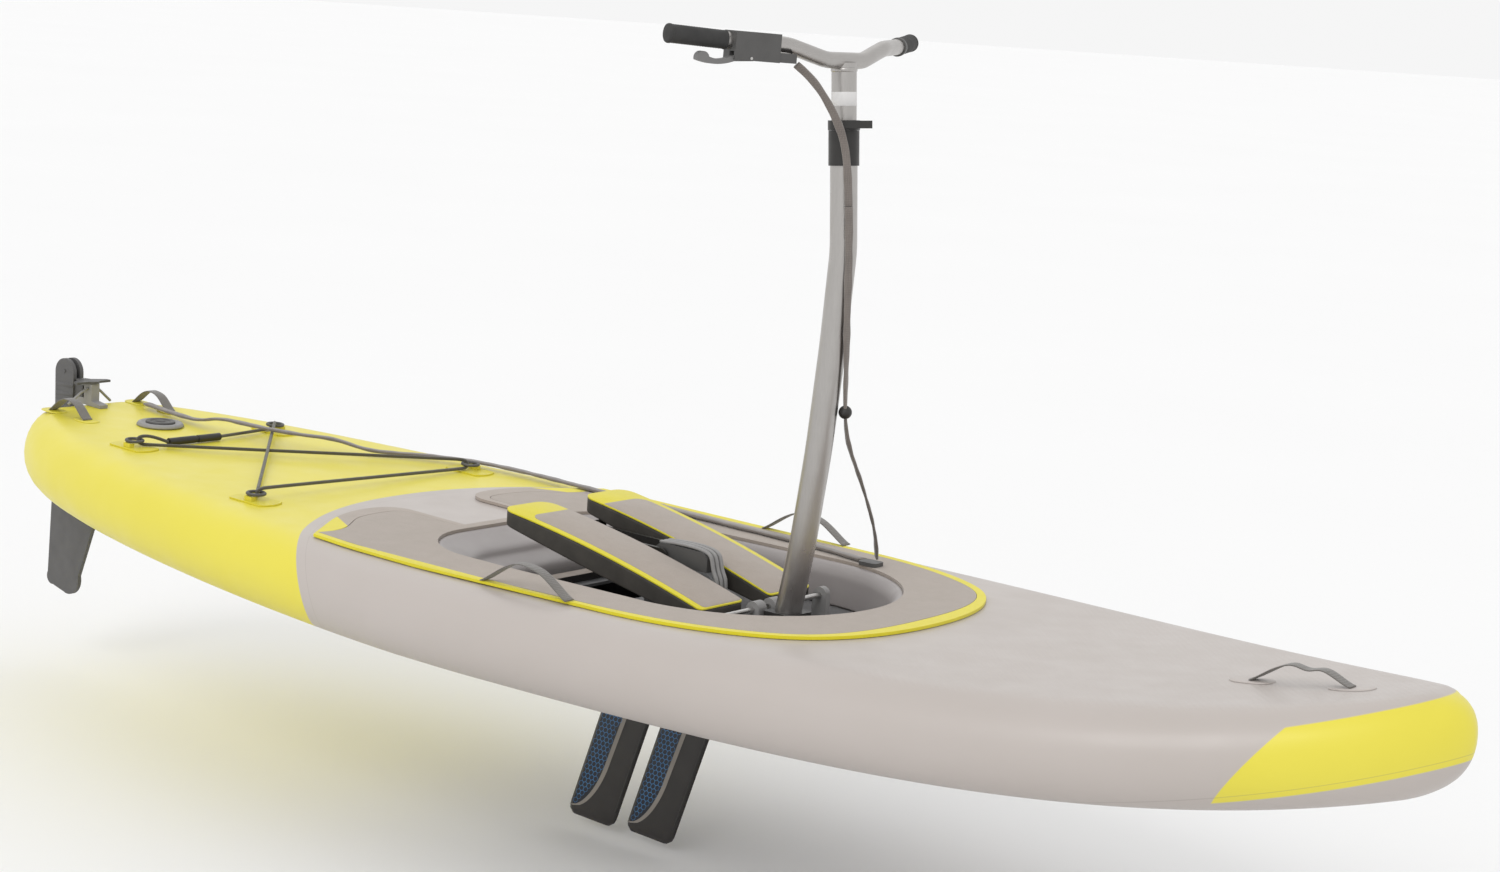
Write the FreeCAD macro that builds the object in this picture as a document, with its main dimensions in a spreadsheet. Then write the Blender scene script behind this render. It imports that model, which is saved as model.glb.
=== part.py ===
import FreeCAD, Part
import math
import os

from FreeCAD import Vector

# Inflatable stand-up pedal board with swinging fins, a steering mast and a kick-up rudder.
# +X points to the bow, +Y to port, +Z up. The origin is on the centreline, midway along
# the board, at the height of its flat bottom amidships. All sizes are in millimetres.

doc = FreeCAD.newDocument("PedalBoard")
sheet = doc.addObject("Spreadsheet::Sheet", "Sizes")

SIZES = [
    # board
    ("board_half_length", 1676.5),
    ("stern_x", -1650),
    ("board_half_width", 495),
    ("board_thickness", 164),
    ("widest_x", -152),
    ("bow_power", 3.02),
    ("bow_root", 1.49),
    ("stern_power", 1.45),
    ("stern_root", 2.55),
    ("bow_rise", 100.4),
    ("bow_rise_power", 4.44),
    ("stern_rise", 60.3),
    ("stern_rise_power", 1.36),
    ("stern_bite_radius", 68),
    ("stern_bite_x", -1672),
    # drive well
    ("well_half_width", 285),
    ("well_front_centre", 273),
    ("well_aft_x", -300),
    ("well_aft_corner", 150),
    ("collar_thickness", 20),
    ("collar_top", 158),
    ("tray_wall", 5),
    ("tray_floor", 8),
    ("tray_height", 80),
    ("drive_deck_thickness", 6),
    # deck pad
    ("pad_thickness", 6),
    ("pad_border_width", 16),
    # mast
    ("mast_radius", 24),
    ("mast_inner_radius", 22.1),
    ("post_radius", 22),
    ("post_wall", 2.5),
    ("post_length", 240),
    ("mast_lean", 4.86),
    ("clamp_sleeve_radius", 27),
    ("clamp_sleeve_length", 61),
    ("clamp_ring_radius", 28),
    ("clamp_ring_length", 17),
    ("clamp_lever_length", 48),
    ("clamp_lever_height", 14),
    ("clamp_pin_radius", 3),
    # handlebar
    ("bar_radius", 14.25),
    ("bar_wall", 2),
    ("grip_radius", 16.5),
    ("grip_cap_length", 5),
    ("housing_length", 88),
    ("housing_width", 40),
    ("housing_height", 48),
    ("finger_lever_length", 112),
    ("finger_lever_width", 14),
    ("lever_pin_radius", 2.5),
    # pedals
    ("pedal_hinge_x", 325),
    ("pedal_hinge_z", 128),
    ("pedal_pin_radius", 5),
    ("pedal_barrel_radius", 12),
    ("pedal_width", 126),
    ("pedal_inner_y", 38),
    ("pedal_foam_thickness", 4),
    ("running_gap", 0.05),
    # drive
    ("crank_x", 100),
    ("crank_z", 187),
    ("crank_radius", 5),
    ("roller_x", -126),
    ("roller_z", 194),
    ("roller_radius", 11),
    ("roller_length", 34),
    ("spine_half_width", 21),
    ("fin_shaft_z", -22),
    ("fin_shaft_radius", 5),
    ("fin_hub_radius", 13),
    ("fin_mast_radius", 3),
    ("fin_thickness", 8),
    # rudder
    ("rudder_pin_x", -1604),
    ("rudder_pin_radius", 4),
    ("kick_pin_x", -1651),
    ("kick_pin_z", 286),
    ("kick_pin_radius", 4),
    ("cheek_thickness", 9),
    ("blade_thickness", 9.4),
    # fittings
    ("strap_thickness", 3),
    ("strap_width", 26),
    ("bungee_radius", 3.5),
    ("lock_radius", 8),
    ("sleeve_radius", 5),
    ("valve_radius", 48),
    ("screw_radius", 4),
]

for row, (alias, value) in enumerate(SIZES, 1):
    sheet.set(f"A{row}", alias)
    sheet.set(f"B{row}", str(value))
    sheet.setAlias(f"B{row}", alias)
doc.recompute()

Y_AXIS = Vector(0, 1, 0)
Z_AXIS = Vector(0, 0, 1)
made = []


def size(alias):
    """A driving size, as a plain number."""
    return float(sheet.get(alias))


def keep(thing, label):
    """Names a finished sub-part, whose file is written at the end."""
    thing.Label = label
    made.append(thing)
    return thing


def bind(thing, **expressions):
    """Ties properties to cells of the sheet; a bare alias or a sum of aliases is enough."""
    for name, expression in expressions.items():
        thing.setExpression(name, expression)
    return thing


def feature(label, shape):
    """A sub-part whose shape is made with Part's own functions."""
    thing = doc.addObject("Part::Feature", label + "_shape")
    thing.Shape = shape
    thing.Placement = FreeCAD.Placement()
    return keep(thing, label)


def turned(axis, at):
    """The placement that puts a thing's own Z axis along axis, at a point."""
    return FreeCAD.Placement(Vector(*at), FreeCAD.Rotation(Z_AXIS, Vector(*axis)))


def cylinder(name, radius, height, at, axis=(0, 0, 1)):
    thing = doc.addObject("Part::Cylinder", name)
    bind(thing, Radius=radius, Height=height)
    thing.Placement = turned(axis, at)
    return thing


def block(name, length, width, height, at):
    thing = doc.addObject("Part::Box", name)
    bind(thing, Length=length, Width=width, Height=height)
    thing.Placement = FreeCAD.Placement(Vector(*at), FreeCAD.Rotation())
    return thing


def cut(name, base, tool):
    thing = doc.addObject("Part::Cut", name)
    thing.Base = base
    thing.Tool = tool
    return thing


def fuse(name, *things):
    thing = doc.addObject("Part::MultiFuse", name)
    thing.Shapes = list(things)
    return thing


def group(name, *things):
    """Separate pieces of one kind, kept together as one sub-part."""
    thing = doc.addObject("Part::Compound", name)
    thing.Links = list(things)
    return thing


def edges(start, *steps):
    """Closed outline in a sketch's plane. A step is (x, y), or (mid x, mid y, x, y) for an arc."""
    out = []
    here = Vector(start[0], start[1], 0)
    for step in [*steps, start]:
        there = Vector(step[-2], step[-1], 0)
        if (there - here).Length < 1e-6:
            continue
        if len(step) == 4:
            out.append(Part.Arc(here, Vector(step[0], step[1], 0), there))
        else:
            out.append(Part.LineSegment(here, there))
        here = there
    return out


def circle(x, y, radius):
    return [Part.Circle(Vector(x, y, 0), Z_AXIS, radius)]


def origin_plane(body, role):
    return next(f for f in body.Origin.OriginFeatures if f.Role == role)


def add_pad(body, role, offset, length, *outlines, midplane=False):
    """One sketch and its pad on an origin plane of the body, offset along the plane's normal."""
    sketch = body.newObject("Sketcher::SketchObject", body.Name + "_sketch")
    sketch.AttachmentSupport = [(origin_plane(body, role), "")]
    sketch.MapMode = "FlatFace"
    sketch.AttachmentOffset = FreeCAD.Placement(Vector(0, 0, offset), FreeCAD.Rotation())
    for outline in outlines:
        for edge in outline:
            sketch.addGeometry(edge, False)
    pad = body.newObject("PartDesign::Pad", body.Name + "_pad")
    pad.Profile = sketch
    pad.Midplane = midplane
    bind(pad, Length=length)
    sketch.Visibility = False
    return pad


def plate(label, role, offset, length, *outlines, midplane=False):
    """A flat sub-part cut from sheet: a body with one padded sketch, with holes where outlines nest."""
    body = doc.addObject("PartDesign::Body", label + "_body")
    add_pad(body, role, offset, length, *outlines, midplane=midplane)
    return body


def rounded_box(x0, y0, x1, y1, r):
    """Rectangle with round corners, as a sketch outline."""
    k = r * (1 - math.sqrt(0.5))
    return edges(
        (x0 + r, y0),
        (x1 - r, y0),
        (x1 - k, y0 + k, x1, y0 + r),
        (x1, y1 - r),
        (x1 - k, y1 - k, x1 - r, y1),
        (x0 + r, y1),
        (x0 + k, y1 - k, x0, y1 - r),
        (x0, y0 + r),
        (x0 + k, y0 + k, x0 + r, y0),
    )


def corner_radius(before, here, after):
    """Largest round that a bend's two runs allow."""
    a = here - before
    b = after - here
    turn = a.getAngle(b)
    return 0.45 * min(a.Length, b.Length) / math.tan(turn / 2)


def route_wire(points, radii=None):
    """Straight runs joined by tangent arcs, one at each inner point."""
    points = [Vector(*p) for p in points]
    parts = []
    here = points[0]
    for i in range(1, len(points) - 1):
        a = (points[i] - points[i - 1]).normalize()
        b = (points[i + 1] - points[i]).normalize()
        turn = a.getAngle(b)
        radius = radii[i - 1] if radii else corner_radius(*points[i - 1:i + 2])
        back = radius * math.tan(turn / 2)
        first = points[i] - a * back
        last = points[i] + b * back
        inward = (b - a).normalize()
        centre = points[i] + inward * (radius / math.cos(turn / 2))
        middle = centre - inward * radius
        parts.append(Part.LineSegment(here, first).toShape())
        parts.append(Part.Arc(first, middle, last).toShape())
        here = last
    parts.append(Part.LineSegment(here, points[-1]).toShape())
    return Part.Wire(parts)


def tube_along(points, radius, inner=0.0, radii=None):
    """Round bar, or a pipe where inner is given, swept along a route."""
    wire = route_wire(points, radii)
    start = Vector(*points[0])
    along = Vector(*points[1]) - start

    def sweep(r):
        ring = Part.Wire([Part.Circle(start, along, r).toShape()])
        shell = Part.BRepOffsetAPI.MakePipeShell(wire)
        shell.add(ring)
        shell.build()
        shell.makeSolid()
        return shell.shape()

    solid = sweep(radius)
    expected = math.pi * radius ** 2 * wire.Length
    if abs(solid.Volume / expected - 1) > 0.02:
        raise ValueError(f"swept volume {solid.Volume:.0f} is not {expected:.0f}")
    if inner:
        solid = solid.cut(sweep(inner))
    return solid


def band_along(points, width, thickness, across=(0, 1, 0)):
    """Flat strap: a polyline in a plane, thickened, and as wide as stated across the plane."""
    across = Vector(*across)
    points = [Vector(*p) for p in points]
    upper = []
    lower = []
    for i, here in enumerate(points):
        before = points[max(i - 1, 0)]
        after = points[min(i + 1, len(points) - 1)]
        normal = (after - before).normalize().cross(across)
        upper.append(here + normal * (thickness / 2))
        lower.append(here - normal * (thickness / 2))
    top = Part.BSplineCurve()
    top.interpolate(upper)
    bottom = Part.BSplineCurve()
    bottom.interpolate(lower)
    side = Part.Wire([
        top.toShape(),
        Part.LineSegment(upper[-1], lower[-1]).toShape(),
        bottom.toShape(),
        Part.LineSegment(lower[0], upper[0]).toShape(),
    ])
    face = Part.Face(side)
    face.translate(across * (-width / 2))
    return face.extrude(across * width)


# ---------------------------------------------------------------- board

HALF = size("board_thickness") / 2
WIDEST = size("widest_x")


def half_width(x):
    """Half of the board's width at x, to the outermost line of the rail."""
    if x >= WIDEST:
        share = (x - WIDEST) / (size("board_half_length") - WIDEST)
        power, root = size("bow_power"), size("bow_root")
    else:
        share = (WIDEST - x) / (WIDEST - size("stern_x"))
        power, root = size("stern_power"), size("stern_root")
    return size("board_half_width") * max(1 - share ** power, 0) ** (1 / root)


def middle_z(x):
    """Height of the board's mid-thickness: the rocker line."""
    half = size("board_half_length")
    if x >= 0:
        return HALF + size("bow_rise") * (x / half) ** size("bow_rise_power")
    return HALF + size("stern_rise") * (-x / half) ** size("stern_rise_power")


def deck_z(x):
    return middle_z(x) + HALF


def hull_section(x):
    """Cross-section at x: flat deck and bottom with half-round rails, thinner at the two tips."""
    tip = size("board_half_length") if x > 0 else size("stern_x")
    inset = min(abs(tip - x), HALF)
    high = math.sqrt(HALF ** 2 - (HALF - inset) ** 2)
    wide = half_width(x)
    round_part = min(HALF, wide * 0.92) if wide < 2 * HALF else HALF
    flat = wide - round_part
    z = middle_z(x)
    pieces = [Part.LineSegment(Vector(x, -flat, z + high), Vector(x, flat, z + high)).toShape()]
    for side in (1, -1):
        spots = []
        for k in range(9):
            angle = math.pi * k / 8
            spots.append(Vector(x, side * (flat + round_part * math.sin(angle)),
                                z + side * high * math.cos(angle)))
        curve = Part.BSplineCurve()
        curve.interpolate(Points=spots, InitialTangent=Vector(0, side, 0),
                          FinalTangent=Vector(0, -side, 0))
        pieces.append(curve.toShape())
        if side == 1:
            pieces.append(Part.LineSegment(Vector(x, flat, z - high), Vector(x, -flat, z - high)).toShape())
    return Part.Wire(pieces)


def well_outline(inset):
    """Outline of the drive well: a half-round front and rounded aft corners."""
    w = size("well_half_width") - inset
    front = size("well_front_centre")
    aft = size("well_aft_x") + inset
    r = size("well_aft_corner") - inset
    k = r * (1 - math.sqrt(0.5))
    return edges(
        (front, -w),
        (front + w, 0, front, w),
        (aft + r, w),
        (aft + k, w - k, aft, w - r),
        (aft, -w + r),
        (aft + k, -w + k, aft + r, -w),
    )


def prism(outline, low, high):
    wire = Part.Wire([e.toShape() for e in outline])
    face = Part.Face(wire)
    face.translate(Vector(0, 0, low))
    return face.extrude(Vector(0, 0, high - low))


def make_hull():
    bow = size("board_half_length")
    stern = size("stern_x")
    stations = [stern + 4, stern + 14, stern + 34, stern + 65, stern + 110, stern + 180]
    stations += [stern + 290, -1180, -950, -700, -420, -150, 150, 420, 690, 950, 1180]
    stations += [bow - 300, bow - 190, bow - 115, bow - 68, bow - 35, bow - 14, bow - 4]
    loft = Part.makeLoft([hull_section(x) for x in stations], True, False)
    well = prism(well_outline(0), -50, 400)
    bite = Part.makeCylinder(size("stern_bite_radius"), 500, Vector(size("stern_bite_x"), 0, -50))
    feature("hull", loft.cut(well).cut(bite))


def make_well():
    collar = size("collar_thickness")
    tray = collar + 0.3
    body = plate("well_collar", "XY_Plane", 2, "Sizes.collar_top - 2",
                 well_outline(0.3), well_outline(collar))
    keep(body, "well_collar")
    slot = rounded_box(48, -30, 232, 30, 12)
    body = plate("drive_well", "XY_Plane", 0, "Sizes.tray_floor", well_outline(tray), slot)
    add_pad(body, "XY_Plane", size("tray_floor"), "Sizes.tray_height - Sizes.tray_floor",
            well_outline(tray), well_outline(tray + size("tray_wall")))
    keep(body, "drive_well")
    slot = size("spine_half_width") + 0.5
    body = plate("drive_deck", "XY_Plane", size("tray_height"), "Sizes.drive_deck_thickness",
                 well_outline(tray),
                 rounded_box(59, -slot, 221, slot, 1),
                 rounded_box(-110, -180, 20, 180, 30))
    keep(body, "drive_deck")


DRIVE_DECK_TOP = size("tray_height") + size("drive_deck_thickness")


def make_cross_beam():
    beam = block("beam_box", "30", "2 * Sizes.well_half_width - 130", "14",
                 (-165, -size("well_half_width") + 65, DRIVE_DECK_TOP))
    keep(beam, "well_cross_beam")


# The deck pad's outline on the port side, from its front tip to the aft end of its lobe.
PAD_FRONT_X = 700
PAD_SIDE = [(600, 290), (500, 352), (400, 385), (240, 404), (0, 414), (-200, 420), (-420, 410)]
PAD_LOBE = [(-478, 317), (-512, 248), (-526, 177), (-516, 126), (-476, 100)]
PAD_LOBE_END = (-330, 100)


def smooth(points):
    curve = Part.BSplineCurve()
    curve.interpolate([Vector(x, y, 0) for x, y in points])
    return curve


def pad_outline(shrink):
    """Outer outline of the pad, closed round the front, with its two aft lobes."""
    side = [(x - shrink * 0.35, y - shrink) for x, y in PAD_SIDE]
    tip = (PAD_FRONT_X - 2 * shrink, 0)
    lobe = [(x + 2.4 * shrink, y + (-shrink if y > 250 else 0)) for x, y in PAD_LOBE[:-1]]
    lobe.append((PAD_LOBE[-1][0] + shrink, PAD_LOBE[-1][1] + shrink))
    inner = (PAD_LOBE_END[0], PAD_LOBE_END[1] + shrink)
    front = [(x, -y) for x, y in side[::-1]] + [tip] + side
    port = [side[-1]] + lobe
    starboard = [(x, -y) for x, y in port[::-1]]
    return [
        smooth(front),
        smooth(port),
        Part.LineSegment(Vector(*port[-1], 0), Vector(*inner, 0)),
        Part.LineSegment(Vector(*inner, 0), Vector(inner[0], -inner[1], 0)),
        Part.LineSegment(Vector(inner[0], -inner[1], 0), Vector(*starboard[0], 0)),
        smooth(starboard),
    ]


def deck_layer(outline_solid):
    """Keeps the part of a prism that lies on the deck, as thick as the pad."""
    length = 1300
    steps = [-600 + length * k / 26 for k in range(27)]
    under = [Vector(x, -480, deck_z(x) + 0.9) for x in steps]
    curve = Part.BSplineCurve()
    curve.interpolate(under)
    lower = curve.toShape()
    upper = lower.copy()
    upper.translate(Vector(0, 0, size("pad_thickness")))
    ends = [
        Part.LineSegment(upper.Vertexes[-1].Point, lower.Vertexes[-1].Point).toShape(),
        Part.LineSegment(lower.Vertexes[0].Point, upper.Vertexes[0].Point).toShape(),
    ]
    slab = Part.Face(Part.Wire([lower, ends[0], upper, ends[1]])).extrude(Vector(0, 960, 0))
    return slab.common(outline_solid)


def make_pad():
    border = size("pad_border_width")
    opening = prism(well_outline(-6), 0, 400)
    outer = prism(pad_outline(0), 50, 300)
    inner = prism(pad_outline(border), 40, 310)
    inner_gap = prism(pad_outline(border + 0.8), 40, 310)
    ring = outer.cut(inner)
    feature("deck_pad", deck_layer(inner_gap.cut(ring).cut(opening)))
    feature("deck_pad_border", deck_layer(ring.cut(opening)))


def webbing_handle(x0, x1, y, rise, under):
    """Carrying loop of flat webbing, its ends sewn down to the deck or to what is under them."""
    middle = (x0 + x1) / 2
    half = (x1 - x0) / 2
    base = under + size("strap_thickness") / 2 + 1.6
    spots = []
    for k in range(13):
        share = -1 + k / 6
        lift = rise * math.cos(share * math.pi / 2) ** 1.2 if abs(share) < 1 else 0
        spots.append((middle + half * share, y, deck_z(middle + half * share) + base + lift))
    return band_along(spots, size("strap_width"), size("strap_thickness"))


def make_handles():
    sides = [webbing_handle(10, 210, side * 405, 46, size("pad_thickness")) for side in (-1, 1)]
    feature("side_handles", Part.makeCompound(sides))
    ends = [webbing_handle(1298, 1472, 0, 34, 0)]
    ends += [webbing_handle(-1560, -1440, side * 115, 34, 0) for side in (-1, 1)]
    feature("end_handles", Part.makeCompound(ends))


RINGS = {
    "aft_starboard": (-1190, -195),
    "aft_port": (-1190, 195),
    "forward_starboard": (-700, -300),
    "forward_port": (-700, 300),
}
RING_RISE = 11
THREAD_LOW = 8
THREAD_HIGH = 23.5


def make_rings():
    """Four tie-down rings on oval patches that are welded to the deck."""
    rings = []
    patches = []
    for x, y in RINGS.values():
        slope = math.degrees(math.atan2(deck_z(x + 10) - deck_z(x - 10), 20))
        tilt = FreeCAD.Rotation(Y_AXIS, -slope)
        patch = Part.makeCylinder(52, 3)
        patch = patch.cut(Part.makeBox(120, 60, 10, Vector(-60, 30, -2)))
        patch = patch.cut(Part.makeBox(120, 60, 10, Vector(-60, -90, -2)))
        ring = Part.makeTorus(17, 3.2, Vector(0, 0, RING_RISE + 4))
        foot = Part.makeBox(20, 12, RING_RISE - 3.4, Vector(-10, 9 if y > 0 else -21, 3.2))
        for shape, where in ((patch, patches), (ring, rings), (foot, patches)):
            shape.Placement = FreeCAD.Placement(Vector(x, y, deck_z(x) + 0.3), tilt)
            where.append(shape)
    feature("ring_patches", Part.makeCompound(patches))
    feature("tie_rings", Part.makeCompound(rings))


def make_valve():
    x = -1340
    z = deck_z(x)
    body = cylinder("valve_base", "Sizes.valve_radius", "7", (x, 0, z + 1.5), (0.028, 0, 1))
    well = cylinder("valve_bore", "Sizes.valve_radius - 14", "8", (x, 0, z + 4.5), (0.028, 0, 1))
    keep(cut("valve_cut", body, well), "valve_body")
    cap = cylinder("valve_plug", "Sizes.valve_radius - 16", "6", (x + 0.1, 0, z + 5), (0.028, 0, 1))
    keep(cap, "valve_cap")


# ---------------------------------------------------------------- mast

MAST_FOOT = (441.5, 0, 800)
MAST_POINTS = [(372, 0, 92), (399, 0, 252), (420, 0, 430), (434.5, 0, 620), (442.5, 0, 788),
               (428.4, 0, 954)]
LEAN = math.radians(size("mast_lean"))
MAST_AXIS = Vector(-math.sin(LEAN), 0, math.cos(LEAN))
MAST_TURN = FreeCAD.Rotation(Y_AXIS, -size("mast_lean"))


POST_START = 55


def on_mast(x, y, z):
    """A point given along and across the upper mast, in the board's frame."""
    return Vector(*MAST_FOOT) + MAST_TURN.multVec(Vector(x, y, z))


def mast_cylinder(name, radius, height, z):
    thing = doc.addObject("Part::Cylinder", name)
    bind(thing, Radius=radius, Height=height)
    thing.Placement = FreeCAD.Placement(on_mast(0, 0, z), MAST_TURN)
    return thing


CLAMP_Z = 135
RING_Z = 196.2
LEVER_OUT = Vector(0.605, -0.795, 0).normalize()
LEVER_ALONG = Vector(0.795, 0.605, 0).normalize()


def make_mast():
    base = plate("mast_base_collar", "XY_Plane", DRIVE_DECK_TOP, "45",
                 edges((346, -18), (346, -30, 358, -34), (392, -34), (408, -30, 408, -18), (408, 18),
                       (408, 30, 392, 34), (358, 34), (346, 30, 346, 18)))
    tool = feature("mast_hole", tube_along([(367, 0, 62), *MAST_POINTS[1:3]], size("mast_radius") + 0.5))
    made.remove(tool)
    keep(cut("mast_base_cut", base, tool), "mast_base_collar")
    radii = [900, 1500, 1500, 300]
    feature("mast_lower_tube", tube_along(MAST_POINTS, size("mast_radius"),
                                          size("mast_inner_radius"), radii))
    outer = mast_cylinder("post_outer", "Sizes.post_radius", "Sizes.post_length", POST_START)
    inner = mast_cylinder("post_inner", "Sizes.post_radius - Sizes.post_wall",
                          "Sizes.post_length + 2", POST_START - 1)
    saddle = mast_cylinder("saddle_plug", "Sizes.post_radius", "17", 295)
    seat = feature("saddle_seat", tube_along(
        [bar_point(0, -1) - Vector(0, 30, 0), bar_point(0) + Vector(0, 30, 0)], size("bar_radius")))
    made.remove(seat)
    post = fuse("post_and_saddle", cut("post_cut", outer, inner), cut("saddle_cut", saddle, seat))
    keep(post, "mast_upper_tube")
    screw = cylinder("base_screw_bar", "Sizes.screw_radius", "5", (378, -39.2, 108), (0, 1, 0))
    rivet_at = on_mast(19.5, -20, CLAMP_Z + 27)
    rivet = cylinder("rivet_bar", "Sizes.screw_radius - 0.5", "3", rivet_at, LEVER_OUT)
    keep(group("mast_fastener_group", screw, rivet), "mast_fasteners")
    knob = cylinder("knob_bar", "11", "22", (425, 48, DRIVE_DECK_TOP + 0.3))
    keep(knob, "drive_latch_knob")


def make_clamp():
    outer = mast_cylinder("sleeve_outer", "Sizes.clamp_sleeve_radius", "Sizes.clamp_sleeve_length",
                          CLAMP_Z)
    inner = mast_cylinder("sleeve_inner", "Sizes.mast_radius", "Sizes.clamp_sleeve_length + 2",
                          CLAMP_Z - 1)
    keep(cut("sleeve_cut", outer, inner), "clamp_sleeve")
    outer = mast_cylinder("ring_outer", "Sizes.clamp_ring_radius", "Sizes.clamp_ring_length", RING_Z)
    inner = mast_cylinder("ring_inner", "Sizes.post_radius + 0.3", "Sizes.clamp_ring_length + 2",
                          RING_Z - 1)
    ring = cut("ring_cut", outer, inner)
    reach = size("clamp_ring_radius") + 5
    pin_at = LEVER_OUT * reach
    lug = doc.addObject("Part::Box", "ring_lug")
    bind(lug, Length="10", Width="14", Height="Sizes.clamp_ring_length - 14.6")
    across = FreeCAD.Rotation(Z_AXIS, math.degrees(math.atan2(LEVER_OUT.y, LEVER_OUT.x)))
    lug.Placement = FreeCAD.Placement(on_mast(0, 0, RING_Z), MAST_TURN.multiply(across)).multiply(
        FreeCAD.Placement(Vector(size("clamp_ring_radius") - 2, -7, 0), FreeCAD.Rotation()))
    pin = mast_cylinder("clamp_pin_bar", "Sizes.clamp_pin_radius", "Sizes.clamp_ring_length", 0)
    pin.Placement.Base = on_mast(pin_at.x, pin_at.y, RING_Z)
    keep(fuse("ring_fuse", ring, lug, pin), "clamp_ring")
    length = size("clamp_lever_length")
    lever = plate("clamp_lever", "XY_Plane", 0, "Sizes.clamp_lever_height - 0.6",
                  edges((-1.8, 4.5), (-4.6, 0, -1.8, -4.5), (length - 12, -4.5), (length, -6),
                        (length, -2.5), (length - 7, -2), (length - 7, 2), (length, 2.5),
                        (length, 6), (length - 12, 4.5)),
                  circle(0, 0, size("clamp_pin_radius") + size("running_gap")))
    lever.Placement = FreeCAD.Placement(
        on_mast(pin_at.x, pin_at.y, RING_Z + 3),
        MAST_TURN.multiply(FreeCAD.Rotation(
            Z_AXIS, math.degrees(math.atan2(LEVER_ALONG.y, LEVER_ALONG.x)))))
    keep(lever, "clamp_lever")


# ---------------------------------------------------------------- handlebar

BAR_CENTRE = on_mast(0, 0, 316)
# The port half of the bar, from the middle outwards, measured from its middle.
BAR_HALF = [(0, 52, 0), (-19, 140, 22), (-62, 248, 25), (-107, 349, 31)]


def bar_point(i, side=1):
    x, y, z = BAR_HALF[i]
    return BAR_CENTRE + Vector(x, side * y, z)


def make_handlebar():
    port = [bar_point(i) for i in range(4)]
    starboard = [bar_point(i, -1) for i in range(4)]
    points = starboard[::-1] + port
    radii = [500, 110, 90, 90, 110, 500]
    tube = tube_along(points, size("bar_radius"), size("bar_radius") - size("bar_wall"), radii)
    feature("handlebar_tube", tube)
    for side, word in ((-1, "starboard"), (1, "port")):
        inner = bar_point(2, side)
        outer = bar_point(3, side)
        along = (outer - inner)
        axis = (along.x, along.y, along.z)
        length = f"{along.Length:.3f} - 6"
        start = inner + along.normalize() * 6
        out = cylinder(f"grip_{word}_outer", "Sizes.grip_radius", length, start, axis)
        core = cylinder(f"grip_{word}_core", "Sizes.bar_radius + 0.15", length + " + 2",
                        start - along * 1, axis)
        cap = cylinder(f"cap_{word}", "Sizes.grip_radius", "Sizes.grip_cap_length", outer, axis)
        keep(fuse(f"grip_{word}_whole", cut(f"grip_{word}_cut", out, core), cap), f"grip_{word}")


# The lever housing's own frame: X inboard along the bar, Y aft, Z up.
HOUSING_X = (bar_point(1, -1) - bar_point(2, -1)).normalize()
HOUSING_Y = Z_AXIS.cross(HOUSING_X).normalize()
HOUSING_Z = HOUSING_X.cross(HOUSING_Y)
HOUSING_TURN = FreeCAD.Rotation(HOUSING_X, HOUSING_Y, HOUSING_Z, "XYZ")
FINGER_PIVOT = (34, -27)


def on_housing(x, y, z):
    """A point measured inboard along the bar, aft and up, from the grip's inner end."""
    return bar_point(2, -1) + HOUSING_X * x + HOUSING_Y * y + HOUSING_Z * z


def housing_block(name, length, width, height, corner):
    """Box set square to the bar, from its outboard, forward, lower corner."""
    thing = doc.addObject("Part::Box", name)
    bind(thing, Length=length, Width=width, Height=height)
    thing.Placement = FreeCAD.Placement(on_housing(*corner), HOUSING_TURN)
    return thing


def make_controls():
    pivot_x, pivot_z = FINGER_PIVOT
    shell = housing_block("housing_box", "Sizes.housing_length", "Sizes.housing_width",
                          "Sizes.housing_height", (2, -24, -31))
    bore = cylinder("housing_bore", "Sizes.bar_radius", "Sizes.housing_length + 10",
                    on_housing(-3, 0, 0), HOUSING_X)
    slot = housing_block("housing_slot", "70", "Sizes.finger_lever_width + 1", "16", (-5, -19.5, -33))
    pin_hole = cylinder("housing_pin_hole", "Sizes.lever_pin_radius", "40",
                        on_housing(pivot_x, -30, pivot_z), HOUSING_Y)
    hollow = fuse("housing_hollows", bore, slot, pin_hole)
    exit_block = housing_block("exit_box", "34", "16", "16", (90, -22, -30))
    keep(fuse("housing_whole", cut("housing_cut", shell, hollow), exit_block), "lever_housing")
    pin = cylinder("lever_pin_bar", "Sizes.lever_pin_radius", "27",
                   on_housing(pivot_x, -25, pivot_z), HOUSING_Y)
    keep(pin, "lever_pivot_screw")
    length = size("finger_lever_length")
    lever = plate("steering_lever", "XZ_Plane", 0, "Sizes.finger_lever_width",
                  edges((6, -4.5), (8, 1, 2, 6), (-34, 2), (-52, -4, -length + 34, -2.5),
                        (-length + 12, -2, -length + 12, -9), (-48, -12, -30, -7)),
                  circle(0, 0, size("lever_pin_radius") + size("running_gap")))
    lever.Placement = FreeCAD.Placement(on_housing(pivot_x, -5, pivot_z), HOUSING_TURN)
    keep(lever, "steering_lever")


# ---------------------------------------------------------------- pedals and drive

HINGE = (size("pedal_hinge_x"), size("pedal_hinge_z"))
PEDAL_TOP = ((318, 139), (75, 204), (-168, 247))
PEDAL_BOTTOM = ((-174, 219), (60, 164), (300, 115))
PEDAL_SKEW = 1.5


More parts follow.
